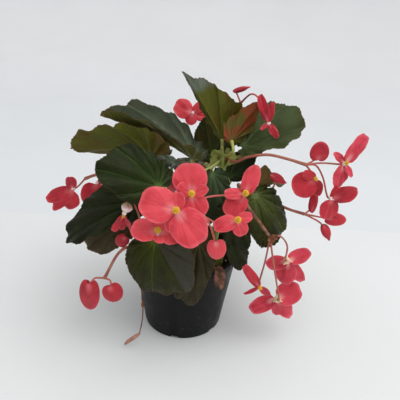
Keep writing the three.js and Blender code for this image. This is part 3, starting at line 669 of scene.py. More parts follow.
def blade_surface(
    base, tip, up, reach, width=1.0, arch=30, hook=0, fold=0, curl=0, wave=0, pucker=None, **_
):
    """The middle surface of a leaf or petal, from ring 0 to 1 and degrees off the midrib."""
    base, tip = np.array(base) * MM, np.array(tip) * MM
    length = np.linalg.norm(tip - base)
    lengthwise = unit(tip - base)
    upright = square_to(up, lengthwise)
    sideways = np.cross(upright, lengthwise)
    rib = midrib(math.radians(arch), math.radians(hook))
    bend = math.radians(curl) / (0.5 * length) + 1e-3
    rise = math.radians(fold)

    def middle(ring, degrees):
        angle = np.radians(degrees)
        distance = ring * reach(degrees) * length
        across = distance * np.sin(angle) * width
        x, z, tilt = rib(distance * np.cos(angle) / length)
        off = np.abs(across)
        side = (np.sin(rise + bend * off) - math.sin(rise)) / bend * np.sign(across)
        lift = (math.cos(rise) - np.cos(rise + bend * off)) / bend
        lift = lift + around(wave * MM * ring ** 2, EDGE_WAVES, degrees)
        if pucker is not None:
            lift = lift + pucker(ring, degrees)
        local_up = np.cos(tilt)[..., None] * upright - np.sin(tilt)[..., None] * lengthwise
        spine = base + (x * length)[..., None] * lengthwise + (z * length)[..., None] * upright
        return spine + side[..., None] * sideways + lift[..., None] * local_up

    return middle


def leaf_reach(wide, lobe=1.0, blunt=0.0, **_):
    """The leaf's outline: a wide half and a narrow half, drawn in at the back, or blunter at the tip."""
    def half(table, angle):
        spread = np.minimum(SOFTENING_SPREAD, angle / 2)
        degrees, parts = zip(*table)
        return sum(share * np.interp(angle + spread * off, degrees, parts) for off, share in SOFTENING)

    def reach(degrees):
        angle = np.minimum(np.abs(degrees), LEAF_SPAN)
        part = np.where(degrees * wide >= 0, half(WIDE_HALF, angle), half(NARROW_HALF, angle))
        blunter = 1 + blunt * np.sin(np.radians(np.minimum(180, 3 * angle)))
        backward = np.maximum(0, angle - LOBE_START) / (LEAF_SPAN - LOBE_START)
        return part * (1 - DRAWN_IN) * blunter * lobe ** backward

    return reach


def cane_look():
    """Fleshy green stem with brown patches and small pale spots."""
    look, tree, shader = look_named("cane_skin", 0.45, Subsurface_Weight=0.1, Subsurface_Scale=2 * MM)
    body = blend(tree, grain(tree, 130, 4), paint(148, 156, 70), paint(188, 190, 102))
    brown = blend(tree, ranged(tree, grain(tree, 55), 0.5, 0.68), body, paint(112, 84, 50))
    cells = result(tree, "ShaderNodeTexVoronoi", {"Vector": own_place(tree), "Scale": 420})
    spots = times(tree, ranged(tree, cells, 0.22, 0.12), 0.5)
    covered(tree, shader, blend(tree, spots, brown, paint(168, 160, 110)))
    relief(tree, shader, grain(tree, 900, 3), 0.3 * MM)
    return look


def cane_lines(radius, joints):
    """A cane's own line, swollen at its joints, and the round knot that ends it."""
    path = smooth_line(joints)
    radii = []
    for point in path:
        nearest = min((point - joint).length for joint in joints)
        swell = JOINT_SWELL * math.exp(-(nearest / JOINT_REACH) ** 2)
        radii.append((radius - CANE_INSET + swell) * MM)
    rise = (joints[-1] - joints[-2]).normalized()
    knot = [joints[-1] + rise * (radius + KNOT_SWELL) * MM * math.sin(t) for t in KNOT_TURNS]
    return [(path, radii), (knot, [(radius + KNOT_SWELL) * MM * math.cos(t) for t in KNOT_TURNS])]


def leaf_stalk(row, joints):
    """A leaf's stalk, which leaves a joint of its cane and arrives at the blade from below."""
    middle = blade_surface(**row, reach=leaf_reach(**row))
    start, near = (middle(np.array(ring), np.array(0.0)) for ring in (0.0, NEAR_FOOT))
    forward = unit(near - start)
    slope = math.radians(row.get("approach", ARRIVAL_SLOPE))
    arrival = Vector(forward * math.cos(slope) + square_to(row["up"], forward) * math.sin(slope))
    start = Vector(start)
    ends = [start - arrival * ARRIVAL_RUN, start - arrival * JUNCTION_GAP]
    path = smooth_line([joints[row["joint"]], *in_metres(row.get("via", [])), *ends])
    return path, stalk_radii(len(path), **PETIOLE)


cane_skin = cane_look()
canes = {name: (radius, in_metres(joints)) for name, (radius, joints) in CANES.items()}
for name, (radius, joints) in canes.items():
    lines = cane_lines(radius, joints)
    lines += [leaf_stalk(row, joints) for row in LEAVES.values() if row["cane"] == name]
    piece = strands("stem_" + name, lines)
    grown(piece, stalks, Sides=CANE_SIDES, Uneven=0.5 * MM, Patch=110.0, Look=cane_skin)
    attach(piece, "root")
    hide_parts("cane_" + name)

# The leaves: fleshy lopsided blades with toothed, wavy edges. Ribs fan out from the stalk's
# junction, sunk into the upper face and raised below, and the blade puckers between them.
RIB_SPACING = 32
RIB_SPREAD = 0.18
RIB_WANDER = (0.05, 7)
BARB_SPACING = 18 * MM
BARB_SLANT = 1.1
BARB_SHIFT = 2.5 * MM
FAN_UNIT = 100 * MM
NET_SCALE = 620
EDGE_STEP = 1.3 * MM
EDGE_SAMPLES = 1281
TOOTH_PITCH = 3.8 * MM
TOOTH_DEPTH = 1.7 * MM
TOOTH_LEVEL = 0.7
QUILT_DEPTH = 2.6
DEEP_QUILT = {"glossy": 4.4, "veined": 4.0}
BARB_HEIGHT = 0.6
QUILT_LEVEL = 0.9
QUILT_ROUNDNESS = 0.8
QUILT_RISE = 5
BARB_RISE = 4
FULL_RELIEF_FROM = 70 * MM
LEAF_THICKNESS = 0.7 * MM
RIB_THICKNESS = 0.9 * MM
RIB_SLIMNESS = 12
EDGE_THINNING = (0.5, 6)
LEAF_ROWS = 16
LEAF_ROWS_LENGTH = 80 * MM
FEWEST_ROWS = 8
LAST_RING = 0.985
SHEET_SHARP_ANGLE = math.radians(50)
SHEET_CORE = 0.06
SHEET_NUDGE = 0.01


def joined(name, parts, looks):
    """One object of several closed parts, each with its points, faces, look numbers and marks."""
    points, faces, index, fields = [], [], [], {}
    start = 0
    for part_points, part_faces, part_index, part_fields in parts:
        points.append(part_points)
        faces += [[corner + start for corner in face] for face in part_faces]
        index += [min(number, len(looks) - 1) for number in part_index]
        for mark, values in part_fields.items():
            fields.setdefault(mark, []).append(values)
        start += len(part_points)
    fields = {mark: np.concatenate(values) for mark, values in fields.items()}
    mesh = mesh_of(name, np.vstack(points), faces, looks, index, fields)
    mesh.set_sharp_from_angle(angle=SHEET_SHARP_ANGLE)
    return new_object(name, mesh)


def closed_sheet(middle, rings, columns, thickness, marks):
    """A closed sheet of two faces and a rim round a middle surface, with its marks on both faces."""
    ring, degrees = (grid.ravel() for grid in np.meshgrid(rings, columns, indexing="ij"))
    ring, degrees = np.append(0.0, ring), np.append(0.0, degrees)
    inner = np.maximum(ring, SHEET_CORE)
    outward = middle(inner + SHEET_NUDGE, degrees) - middle(inner - SHEET_NUDGE, degrees)
    turned = middle(inner, degrees + 1) - middle(inner, degrees - 1)
    normal = np.cross(outward, turned)
    normal /= np.linalg.norm(normal, axis=1)[:, None]
    here = middle(ring, degrees)
    half = (thickness(ring, degrees) / 2)[:, None]
    points = np.vstack([here + normal * half, here - normal * half])
    count, total, rows = len(columns), len(ring), len(rings)
    cell = 1 + np.arange(rows * count).reshape(rows, count)
    upper = [[0, cell[0, j], cell[0, j + 1]] for j in range(count - 1)]
    upper += [
        [cell[i, j], cell[i + 1, j], cell[i + 1, j + 1], cell[i, j + 1]]
        for i in range(rows - 1) for j in range(count - 1)
    ]
    lower = [[corner + total for corner in reversed(face)] for face in upper]
    loop = [0, *cell[:, 0], *cell[-1, 1:], *cell[-2::-1, -1]]
    rim = [[p, p + total, q + total, q] for p, q in zip(loop, loop[1:] + loop[:1])]
    index = [0] * len(upper) + [1] * len(lower) + [0] * len(rim)
    fields = {mark: np.concatenate([values] * 2) for mark, values in marks(ring, degrees).items()}
    return points, upper + lower + rim, index, fields


def flattened(distance, degrees, width):
    """Where a point lies along and across its blade, as if it were pressed flat."""
    angle = np.radians(degrees)
    return np.stack([distance * np.cos(angle), distance * np.sin(angle) * width, 0 * distance], -1)


def leaf_fields(reach, length, width):
    """Where a point of the blade lies between its ribs and its barbs."""
    def fields(ring, degrees):
        fan = ring * reach(degrees) * length
        place = degrees * (1 + RIB_SPREAD * ring) / RIB_SPACING + around(*RIB_WANDER, degrees)
        off = place - np.round(place)
        aside = fan * np.abs(off) * math.radians(RIB_SPACING)
        barb = np.sin(2 * math.pi * (fan - BARB_SLANT * aside + BARB_SHIFT * np.sign(off)) / BARB_SPACING)
        return {
            "rib": np.sin(math.pi * place), "barb": barb, "fan": fan / FAN_UNIT, "ring": ring,
            "blade": flattened(fan, degrees, width),
        }

    return fields


def marked(tree, label, kind="Fac"):
    """A point attribute of the mesh, by its name."""
    return add(tree, "ShaderNodeAttribute", attribute_name=label).outputs[kind]


def layered(tree, body, layers):
    """A colour with others laid over it in turn, each by its own factor."""
    for factor, colour in layers:
        body = blend(tree, factor, body, colour)
    return body


def leaf_looks(tone, dark, mid, glow, rib_paint, edge, gloss, below, blotch):
    """The upper and the lower skin of a leaf. Distances off a rib are in millimetres."""
    pair = []
    for face in ("upper", "lower"):
        look, tree, shader = look_named(
            f"leaf_{tone}_{face}", gloss, Specular_IOR_Level=0.24, Specular_Tint=(0.85, 0.92, 0.6, 1),
            Subsurface_Weight=0.05, Subsurface_Scale=3 * MM,
        )
        rib, barb, fan, ring = (marked(tree, label) for label in ("rib", "barb", "fan", "ring"))
        flat = marked(tree, "blade", "Vector")
        sector = FAN_UNIT / MM * math.radians(RIB_SPACING) / math.pi
        aside = times(tree, times(tree, sums(tree, "ABSOLUTE", rib), fan), sector)
        rib_width = sums(tree, "SUBTRACT", 1.15, times(tree, ranged(tree, ring, 0.0, 1.0), 0.8))
        rib_line = ranged(tree, sums(tree, "DIVIDE", aside, rib_width), 1.0, 0.35)
        near_barb = ranged(tree, sums(tree, "ABSOLUTE", barb), 0.16, 0.03)
        barb_line = times(tree, near_barb, ranged(tree, aside, 0.2, 2))
        mesh_of_veins = {"Vector": flat, "Scale": NET_SCALE}
        cells = result(tree, "ShaderNodeTexVoronoi", mesh_of_veins, feature="DISTANCE_TO_EDGE")
        net = ranged(tree, cells, 0.0, 0.12)
        seams = sums(tree, "SUBTRACT", 1.0, net)
        if face == "upper":
            halo = times(tree, ranged(tree, aside, 7.5, 0.5), ranged(tree, ring, 1.0, 0.1, 0.15, 1.0))
            body = layered(tree, dark, [
                (ranged(tree, grain(tree, 60, 4), 0.35, 0.65), mid),
                (times(tree, halo, 0.85), glow), (times(tree, barb_line, 0.3), glow),
                (times(tree, rib_line, 0.85), rib_paint), (times(tree, seams, 0.12), glow),
            ])
            if tone == "bronze":
                # Painted light and shade: on one side of its midrib the bronze leaf's upper face is blended
                # towards grey (56, 54, 48). This stands in for how its two folded halves are lit
                # differently.
                shaded = ranged(tree, one_of(tree, flat, "Y"), -2 * MM, 3 * MM, 0.0, 0.85)
                body = blend(tree, shaded, body, paint(56, 54, 48))
            lines = sums(tree, "ADD", rib_line, times(tree, barb_line, 0.5))
            height = sums(tree, "SUBTRACT", times(tree, net, 0.3), lines)
        else:
            patchy = (0.42, 0.62) if tone == "russet" else (0.46, 0.74)
            body = blend(tree, ranged(tree, grain(tree, 45, 4), *patchy), below, blotch)
            if tone == "erect":
                # Towards its tip the erect leaf's lower face is painted grey-green. It stands in for the
                # upper face of a tip that folds over, and the grey of it is painted sheen.
                body = blend(tree, ranged(tree, fan, 0.5, 0.6), body, paint(104, 116, 106))
            veins = ((seams, 0.2), (barb_line, 0.45), (rib_line, 0.8))
            body = layered(tree, body, [(times(tree, vein, share), rib_paint) for vein, share in veins])
            height = sums(tree, "ADD", rib_line, times(tree, barb_line, 0.6))
        rim = ranged(tree, ring, 0.98, 1.0, 0.0, 0.8)
        rough = ranged(tree, grain(tree, 240, 3), 0.3, 0.7, gloss - 0.06, gloss + 0.1)
        covered(tree, shader, blend(tree, rim, body, edge), rough)
        ribs = relief(tree, shader, height, 0.6 * MM, 0.7)
        relief(tree, shader, grain(tree, 1500, 2, flat), 0.15 * MM, 0.6, ribs)
        pair.append(look)
    return pair


OLIVE_BELOW = (paint(86, 88, 26), paint(90, 62, 24))
MAUVE_BELOW = (paint(92, 76, 48), paint(106, 64, 48))
LEAF_TONES = {
    "veined": ((13, 19, 0), (24, 33, 4), (48, 66, 26), (88, 114, 58), (70, 46, 22), 0.34, OLIVE_BELOW),
    "slate": ((26, 36, 20), (40, 52, 32), (52, 70, 44), (78, 98, 62), (74, 56, 30), 0.36, OLIVE_BELOW),
    # Painted sheen: the upper-left leaf's tone is a lighter grey-green than the slate one. It stands in for
    # the sheen of light on its upper face.
    "painted_sheen": ((32, 40, 26), (48, 56, 40), (92, 100, 82), (118, 126, 102), (84, 62, 38), 0.34, OLIVE_BELOW),
    "dark": ((14, 16, 4), (28, 30, 10), (36, 48, 18), (58, 70, 34), (76, 42, 24), 0.34, MAUVE_BELOW),
    "bronze": ((22, 18, 0), (40, 36, 2), (54, 62, 10), (90, 104, 36), (104, 64, 38), 0.34, OLIVE_BELOW),
    "glossy": ((22, 26, 5), (46, 46, 12), (68, 78, 30), (104, 114, 66), (66, 38, 20), 0.24, OLIVE_BELOW),
    "fresh": ((54, 64, 32), (70, 84, 50), (82, 96, 58), (108, 128, 82), (98, 58, 40), 0.36, MAUVE_BELOW),
    "olive": ((40, 52, 32), (60, 72, 46), (78, 92, 56), (100, 108, 44), (90, 54, 26), 0.38, OLIVE_BELOW),
    "erect": ((40, 52, 32), (60, 72, 46), (78, 92, 56), (100, 108, 44), (90, 54, 26), 0.38, OLIVE_BELOW),
    "shaded": ((22, 28, 14), (34, 40, 20), (46, 56, 28), (64, 76, 36), (70, 46, 24), 0.38,
               (paint(46, 52, 18), paint(60, 46, 20))),
    "dusky": ((34, 28, 14), (56, 48, 30), (64, 58, 36), (82, 76, 50), (84, 54, 34), 0.36, MAUVE_BELOW),
    # Painted light: a lighter copy of the dusky tone for the small left leaf, which lies in shade in this
    # scene.
    "dusky_painted_light": ((62, 54, 38), (94, 84, 62), (100, 96, 66), (112, 108, 78), (84, 54, 34), 0.36, MAUVE_BELOW),
    # The young leaf's brownish olive is its own colour. It is also painted lighter than it is, as painted
    # light, because it lies in shadow in this scene.
    "young": ((92, 80, 40), (110, 94, 50), (120, 96, 54), (126, 104, 60), (124, 62, 44), 0.38, MAUVE_BELOW),
    "russet": ((76, 90, 38), (96, 98, 46), (104, 112, 50), (108, 98, 50), (104, 50, 32), 0.38,
               (paint(98, 92, 42), paint(150, 58, 40))),
}
TOOTH_DRIFT = (0.3, 9 * MM)
TOOTH_UNEVENNESS = (0.3, 13 * MM)
LONG_SCALLOP = (0.03, 7 * MM)
SHORT_SCALLOP = (0.014, 3.1 * MM)
EDGE_RUFFLES = ((1.2, 5, 17), (0.8, 4, 29))
tones = {}
for tone, (*colours, gloss, (below, blotch)) in LEAF_TONES.items():
    tones[tone] = leaf_looks(tone, *(paint(*colour) for colour in colours), gloss, below, blotch)


def ripple(size, run, along, start):
    """A wave along an edge, from its height and the length that one radian of it takes."""
    return size * np.sin(along / run + start)


def leaf_blade(name, row, draw):
    """A leaf's blade: toothed, quilted between its ribs, and ruffled towards its edge."""
    plain = leaf_reach(**row)
    width = row.get("width", 1.0)
    length = MM * np.linalg.norm(np.subtract(row["tip"], row["base"]))
    fine = np.linspace(-LEAF_SPAN, LEAF_SPAN, EDGE_SAMPLES)
    x, y, _ = flattened(plain(fine) * length, fine, width).T
    arc = np.concatenate([[0], np.cumsum(np.hypot(np.diff(x), np.diff(y)))])
    columns = np.interp(np.linspace(0, arc[-1], round(arc[-1] / EDGE_STEP)), arc, fine)
    shift = draw.uniform(0, FULL_TURN, 6)
    swell = DEEP_QUILT.get(row["tone"], QUILT_DEPTH)
    fields = leaf_fields(plain, length, width)

    def toothed(degrees):
        along = np.interp(degrees, fine, arc)
        saw = np.mod(along / TOOTH_PITCH + ripple(*TOOTH_DRIFT, along, shift[0]), 1) - 0.5
        uneven = TOOTH_LEVEL + ripple(*TOOTH_UNEVENNESS, along, shift[1])
        scallop = ripple(*LONG_SCALLOP, along, shift[2]) + ripple(*SHORT_SCALLOP, along, shift[3])
        return plain(degrees) * (1 + scallop) + TOOTH_DEPTH / length * saw * uneven

    def pucker(ring, degrees):
        found = fields(ring, degrees)
        rounded_rib = np.abs(found["rib"]) ** QUILT_ROUNDNESS
        quilt = swell * rounded_rib * np.clip(found["fan"] * QUILT_RISE, 0, 1)
        barbs = BARB_HEIGHT * np.abs(found["barb"]) * np.clip(found["fan"] * BARB_RISE, 0, 1)
        ruffle = sum(
            around(rise * ring ** gather, count, degrees, start)
            for (rise, gather, count), start in zip(EDGE_RUFFLES, shift[4:])
        )
        return (quilt + barbs - QUILT_LEVEL + ruffle) * MM * min(1, length / FULL_RELIEF_FROM)

    def thickness(ring, degrees):
        found = fields(ring, degrees)
        off_rib = np.abs(found["rib"]) * found["fan"]
        near_rib = np.exp(-(off_rib * RIB_SLIMNESS) ** 2) * (1 - ring)
        share, power = EDGE_THINNING
        return LEAF_THICKNESS * (1 - share * ring ** power) + RIB_THICKNESS * near_rib

    middle = blade_surface(**row, reach=toothed, pucker=pucker)
    rows = max(FEWEST_ROWS, round(LEAF_ROWS * length / LEAF_ROWS_LENGTH))
    rings = np.append(np.linspace(0, LAST_RING, rows + 1)[1:], 1.0)
    sheet = closed_sheet(middle, rings, columns, thickness, fields)
    return joined("blade_" + name, [sheet], tones[row["tone"]])


for seed, (name, row) in enumerate(LEAVES.items()):
    piece = leaf_blade(name, row, np.random.default_rng(seed))
    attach(piece, "root")
    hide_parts("leaf_" + name)

# The flower stalks: reddish stems that grow out of the canes and fork into thin pink
# branches. A branch ends behind a bloom, or in a flat closed bud of two petals. A bloom is
# given by its centre, its facing and its form, and a petal by its tip and its width.
BLOOMS = {
    "front_left": ((-5, -112, 192), (0, -0.85, 0.5), "open", [
        (-35, -112, 201, 0.86), (17, -119, 166, 0.8), (-10, -117, 174, 0.6), (-4, -107, 207, 0.7)]),
    "front_top": ((6, -98, 201), (0.1, -0.85, 0.5), "open", [
        (3, -92, 227, 1), (14, -102, 181, 0.95), (-6, -102, 210, 0.7), (20, -98, 208, 0.6)]),
    "front_low": ((-20, -108, 168), (0, -0.35, 0.94), "open", [
        (-43, -106, 172, 1), (3, -106, 168, 0.9), (-22, -94, 176, 0.7), (-17, -121, 166, 0.6)]),
    "mid_top": ((53, -72, 193), (0.1, -0.85, 0.5), "open", [
        (62, -66, 219, 0.5), (38, -76, 172, 0.7), (34, -76, 194, 0.5), (61, -70, 200, 0.6)]),
    "mid_low": ((47, -90, 176), (0, -0.9, 0.4), "open", [
        (26, -94, 169, 0.58), (53, -92, 161, 0.8), (60, -88, 180, 0.7)]),
    "left_drop": ((-54, -78, 169), (-0.2, -0.6, -0.75), "seeded", [
        (-64, -82, 153, 0.42), (-46, -82, 153, 0.5), (-57, -76, 152, 0.4)]),
    "far_left": ((-118, -18, 165), (-0.3, -0.9, 0.1), "plain", [
        (-126, -20, 144, 1), (-121, -16, 178, 1), (-147, -18, 151, 0.42), (-140, -20, 141, 0.35)]),
    "left_back": ((-100, 10, 161), (-0.2, -0.8, -0.2), "plain", [
        (-112, 6, 138, 0.85), (-90, 8, 146, 0.6), (-88, 8, 168, 0.5)]),
    "top_left": ((0, 46, 236), (-0.1, -0.85, 0.4), "plain", [
        (-20, 42, 245, 0.9), (-2, 42, 223, 0.9), (17, 44, 231, 0.6), (11, 46, 248, 0.6)]),
    "top_right": ((76, -11, 243), (-0.3, -0.9, 0.2), "plain", [
        (65, -7, 270, 0.3), (78, -10, 264, 0.3), (86, -17, 230, 0.4), (68, -15, 237, 0.35)]),
    "right_long": ((147, -40, 216), (0.3, -0.8, 0.4), "plain", [
        (163, -36, 244, 0.42), (136, -36, 225, 0.5), (143, -42, 191, 0.55), (156, -42, 203, 0.4)]),
    "right_round": ((124, -34, 197), (-0.2, -0.9, 0.2), "plain", [
        (103, -38, 184, 0.95), (129, -32, 178, 0.6), (109, -40, 205, 0.5)]),
    "right_low": ((139, -46, 182), (0.2, -0.9, 0.2), "plain", [
        (161, -50, 194, 0.6), (137, -48, 160, 0.8), (142, -44, 196, 0.4)]),
    "drop_back": ((106, -48, 111), (0.3, 0.7, -0.5), "seeded", [
        (84, -50, 107, 0.62), (105, -50, 84, 0.75), (129, -44, 122, 0.55), (127, -44, 84, 0.35)]),
    "drop_side": ((78, -66, 90), (0, -0.9, 0.3), "plain", [
        (59, -68, 117, 0.28), (62, -68, 82, 0.2), (90, -62, 78, 0.4)]),
    "drop_low": ((100, -48, 64), (0, 0.8, -0.5), "seeded", [
        (126, -44, 76, 0.8), (73, -48, 47, 0.5), (121, -44, 38, 0.45), (106, -46, 40, 0.5)]),
}
# A spray leaves a joint of a cane. Its branches leave its stem at a numbered point, pass
# some places, and end at a bloom by name or at a bud with its foot, tip and width.
SPRAYS = {
    "front": ("front", 3, [(2, -66, 164), (4, -78, 180)], [
        (1, [], "front_left"), (1, [], "front_top"), (1, [], "front_low"),
        (1, [(20, -68, 186)], "mid_top"), (1, [(26, -76, 166), (40, -82, 163)], "mid_low"),
        (1, [(20, -84, 172)], ((30, -90, 153), (32, -93, 137), 0.9))]),
    "left": ("front", 2, [(-30, -64, 126), (-50, -71, 132), (-60, -72, 126), (-76, -72, 95)], [
        (1, [(-40, -72, 156)], "left_drop"), (2, [(-54, -64, 133)], ((-55, -68, 140), (-63, -68, 131), 0.9)),
        (3, [(-86, -72, 94)], ((-91, -72, 88), (-92, -72, 56), 0.55)),
        (3, [(-70, -74, 94)], ((-70, -75, 88), (-63, -77, 72), 1))]),
    "far_left": ("left", 4, [(-49, -15, 183), (-94, -13, 180), (-106, -12, 175)], [
        (2, [], "far_left"), (1, [], "left_back")]),
    "top": ("back", 4, [(30, 50, 204), (44, 40, 236), (51, 35, 252)], [
        (2, [], ((42, 36, 263), (60, 36, 269), 0.3)),
        (2, [(60, 22, 264), (67, 6, 262)], "top_right"), (0, [(20, 54, 222)], "top_left")]),
    "right_high": ("main", 4, [
        (47, -12, 202), (58, -25, 212), (76, -30, 217), (94, -33, 215), (112, -35, 211)], [
        (4, [], "right_round"), (4, [(128, -34, 213)], "right_long"),
        (4, [(118, -34, 214)], ((123, -34, 217), (124, -34, 234), 0.9)),
        (4, [(124, -28, 208), (133, -26, 196)], "right_low")]),
    "right_low": ("right", 4, [(75, -8, 167), (103, -24, 159), (120, -31, 157)], [
        (2, [], ((127, -28, 158), (129, -23, 184), 0.35)),
        (0, [(88, -16, 179)], ((82, -21, 194), (99, -23, 186), 0.5)),
        (2, [(134, -37, 152)], ((138, -38, 150), (147, -40, 133), 0.5)),
        (2, [(138, -37, 157)], ((141, -38, 157), (160, -38, 156), 0.6))]),
    "drop": ("right", 4, [(50, -34, 186), (57, -58, 177), (72, -62, 159), (83, -60, 144)], [
        (3, [(92, -58, 145), (102, -54, 132)], "drop_back"),
        (3, [(81, -60, 116)], "drop_side"), (3, [(89, -62, 117)], "drop_low")]),
    "behind": ("back", 3, [(0, 70, 148), (-24, 86, 142)], [
        (1, [], ((-30, 91, 141), (-52, 100, 146), 0.9)), (1, [], ((-28, 92, 136), (-30, 104, 113), 0.8))]),
}
PEDUNCLE = dict(radius=1.5, taper=0.15, foot=1.0, foot_fade=14, end=0.5, end_fade=12)
PEDICEL = dict(radius=0.9, taper=0, foot=0.35, foot_fade=10, end=0.5, end_fade=14)
PEDICEL_STRAIGHT = 6 * MM
STALK_INSET = 0.6
STALK_SIDES = 14
BLOOM_DEPTH = {"open": 1.8 * MM, "plain": 1.8 * MM, "seeded": 11 * MM}
BUD_FACING = (0, -0.9, 0.3)
BUD_ARCH = 18
BUD_POINT = (0.16, 9)
BUD_SEAM = (0.12, 12)
BUD_ON_STALK = 0.16
BUD_DOME = 2.1 * MM
BUD_EDGE = 0.32 * MM
BUD_FULL_LENGTH = 20 * MM
BUD_SKIN = 0.55 * MM
BUD_RINGS = [0.06, 0.15, 0.28, 0.42, 0.56, 0.7, 0.82, 0.91, 0.97, 1]
BUD_COLUMNS = 41
PLUMP_FROM = 0.52
DOME_FORM = (2.4, 0.7)
DOME_FOOT = (0.45, 3)
HEART_WIDTH = 0.83
HEART_SPAN = 118
HEART_LIMIT = 122
HEART_TURN = 0.72
PETAL_SPAN = 76
PETAL_LIMIT = 80
PETAL_ROUNDNESS = 0.7
SHEET_FOOT = 1.1
PETAL_TONES = {
    "coral": ((238, 140, 142), (228, 68, 80), (208, 44, 60), (238, 108, 114), (214, 50, 66)),
    "crimson": ((218, 102, 108), (194, 34, 50), (162, 18, 38), (218, 74, 86), (174, 26, 44)),
    "rose": ((242, 180, 176), (219, 61, 81), (192, 36, 58), (236, 118, 128), (202, 44, 66)),
}
RED_BLOOMS = ("left_drop", "far_left", "left_back", "top_right", "right_round", "right_low", "drop_side")
ROSE_BLOOMS = ("right_long", "drop_back", "drop_low")
RED_SPRAYS = ("left", "right_high", "right_low", "top")


def petal_reach(degrees):
    """A petal's round outline."""
    return np.cos(np.radians(np.minimum(np.abs(degrees), PETAL_LIMIT))) ** PETAL_ROUNDNESS


def heart_reach(degrees):
    """A plump bud's outline: round, with two lobes beside its stalk."""
    held = np.minimum(np.abs(degrees), HEART_LIMIT)
    return np.cos(np.radians(held * HEART_TURN)) ** PETAL_ROUNDNESS


def near_middle(size, width, degrees):
    """A size along the middle of a petal, which fades beside it."""
    return size * np.exp(-(degrees / width) ** 2)


def pointed_reach(degrees):
    """A slim bud's outline: a petal's, drawn out to a point at its tip."""
    return petal_reach(degrees) * (1 - BUD_POINT[0] + near_middle(*BUD_POINT, degrees))


def domed(ring, degrees):
    """How far one half of a bud bulges, from 0 at its edge to 1, with a faint seam along it."""
    inside = np.clip(ring, 0, 1)
    seam = near_middle(*BUD_SEAM, degrees) * inside
    flatness, roundness = DOME_FORM
    low, climb = DOME_FOOT
    dome = (1 - inside ** flatness) ** roundness * np.minimum(1, low + inside * climb)
    return dome - seam * (1 - inside)


def petal_fields(length, width):
    """Where a point of a petal lies from its foot to its edge, and along and across it."""
    def fields(ring, degrees):
        return {"ring": ring, "blade": flattened(ring * petal_reach(degrees) * length, degrees, width)}

    return fields


def thinning(thickest, share, power):
    """A sheet's thickness, which thins towards its edge."""
    return lambda ring, degrees: thickest * (SHEET_FOOT - share * ring ** power)


def bud_petals(foot, tip, width):
    """The two petals of a closed bud, which bulge away from each other."""
    length = (Vector(tip) * MM - Vector(foot) * MM).length
    dome = BUD_DOME * min(1, length / BUD_FULL_LENGTH)
    plump = width > PLUMP_FROM
    reach = heart_reach if plump else pointed_reach
    span = HEART_SPAN if plump else PETAL_SPAN
    breadth = width * HEART_WIDTH if plump else width
    columns = np.linspace(-span, span, BUD_COLUMNS)
    thickness = thinning(BUD_SKIN, 0.5, 3)
    petals = []
    for side in (1, -1):
        def bulge(ring, degrees, side=side):
            return side * (BUD_EDGE + dome * domed(ring, degrees))

        middle = blade_surface(foot, tip, BUD_FACING, reach, width=breadth, arch=BUD_ARCH, pucker=bulge)
        petals.append(closed_sheet(middle, BUD_RINGS, columns, thickness, petal_fields(length, width)))
    return petals


def petal_looks(tone, foot, main, deep, rim, below):
    """The inner and the outer skin of a petal: fleshy, slightly glistening, with fine streaks."""
    pair = []
    for face in ("inner", "outer"):
        look, tree, shader = look_named(
            f"petal_{tone}_{face}", 0.5, Specular_IOR_Level=0.35, Sheen_Weight=0.15,
            Subsurface_Weight=0.12, Subsurface_Radius=(1.0, 0.25, 0.2), Subsurface_Scale=2.5 * MM,
        )
        ring, flat = marked(tree, "ring"), marked(tree, "blade", "Vector")
        stretched = result(tree, "ShaderNodeMapping", {"Vector": flat, "Scale": (1, 9, 1)})
        streaks = grain(tree, 160, 3, stretched)
        body = layered(tree, main, [
            (ranged(tree, grain(tree, 70, 3), 0.35, 0.7), deep),
            (times(tree, ranged(tree, streaks, 0.45, 0.75), 0.35), rim),
        ])
        if face == "outer":
            body = blend(tree, times(tree, ranged(tree, streaks, 0.4, 0.7), 0.5), body, below)
        body = blend(tree, ranged(tree, ring, 0.42, 0.02), body, foot)
        rough = ranged(tree, grain(tree, 300, 2), 0.3, 0.7, 0.42, 0.6)
        covered(tree, shader, blend(tree, ranged(tree, ring, 0.86, 1.0, 0.0, 0.55), body, rim), rough)
        folds = relief(tree, shader, streaks, 0.5 * MM, 0.5)
        relief(tree, shader, grain(tree, 2600, 2, flat), 0.12 * MM, 0.6, folds)
        pair.append(look)
    return pair


def stalk_look(name, thin, stout):
    """Reddish skin, pinker where the stalk is thin."""
    look, tree, shader = look_named(name, 0.42, Subsurface_Weight=0.12, Subsurface_Scale=1.5 * MM)
    body = layered(tree, thin, [
        (ranged(tree, marked(tree, "thick"), 0.9 * MM, 1.6 * MM), stout),
        (ranged(tree, grain(tree, 120, 4), 0.42, 0.68), paint(176, 112, 84)),
    ])
    covered(tree, shader, body)
    relief(tree, shader, grain(tree, 1100, 3), 0.2 * MM)
    return look


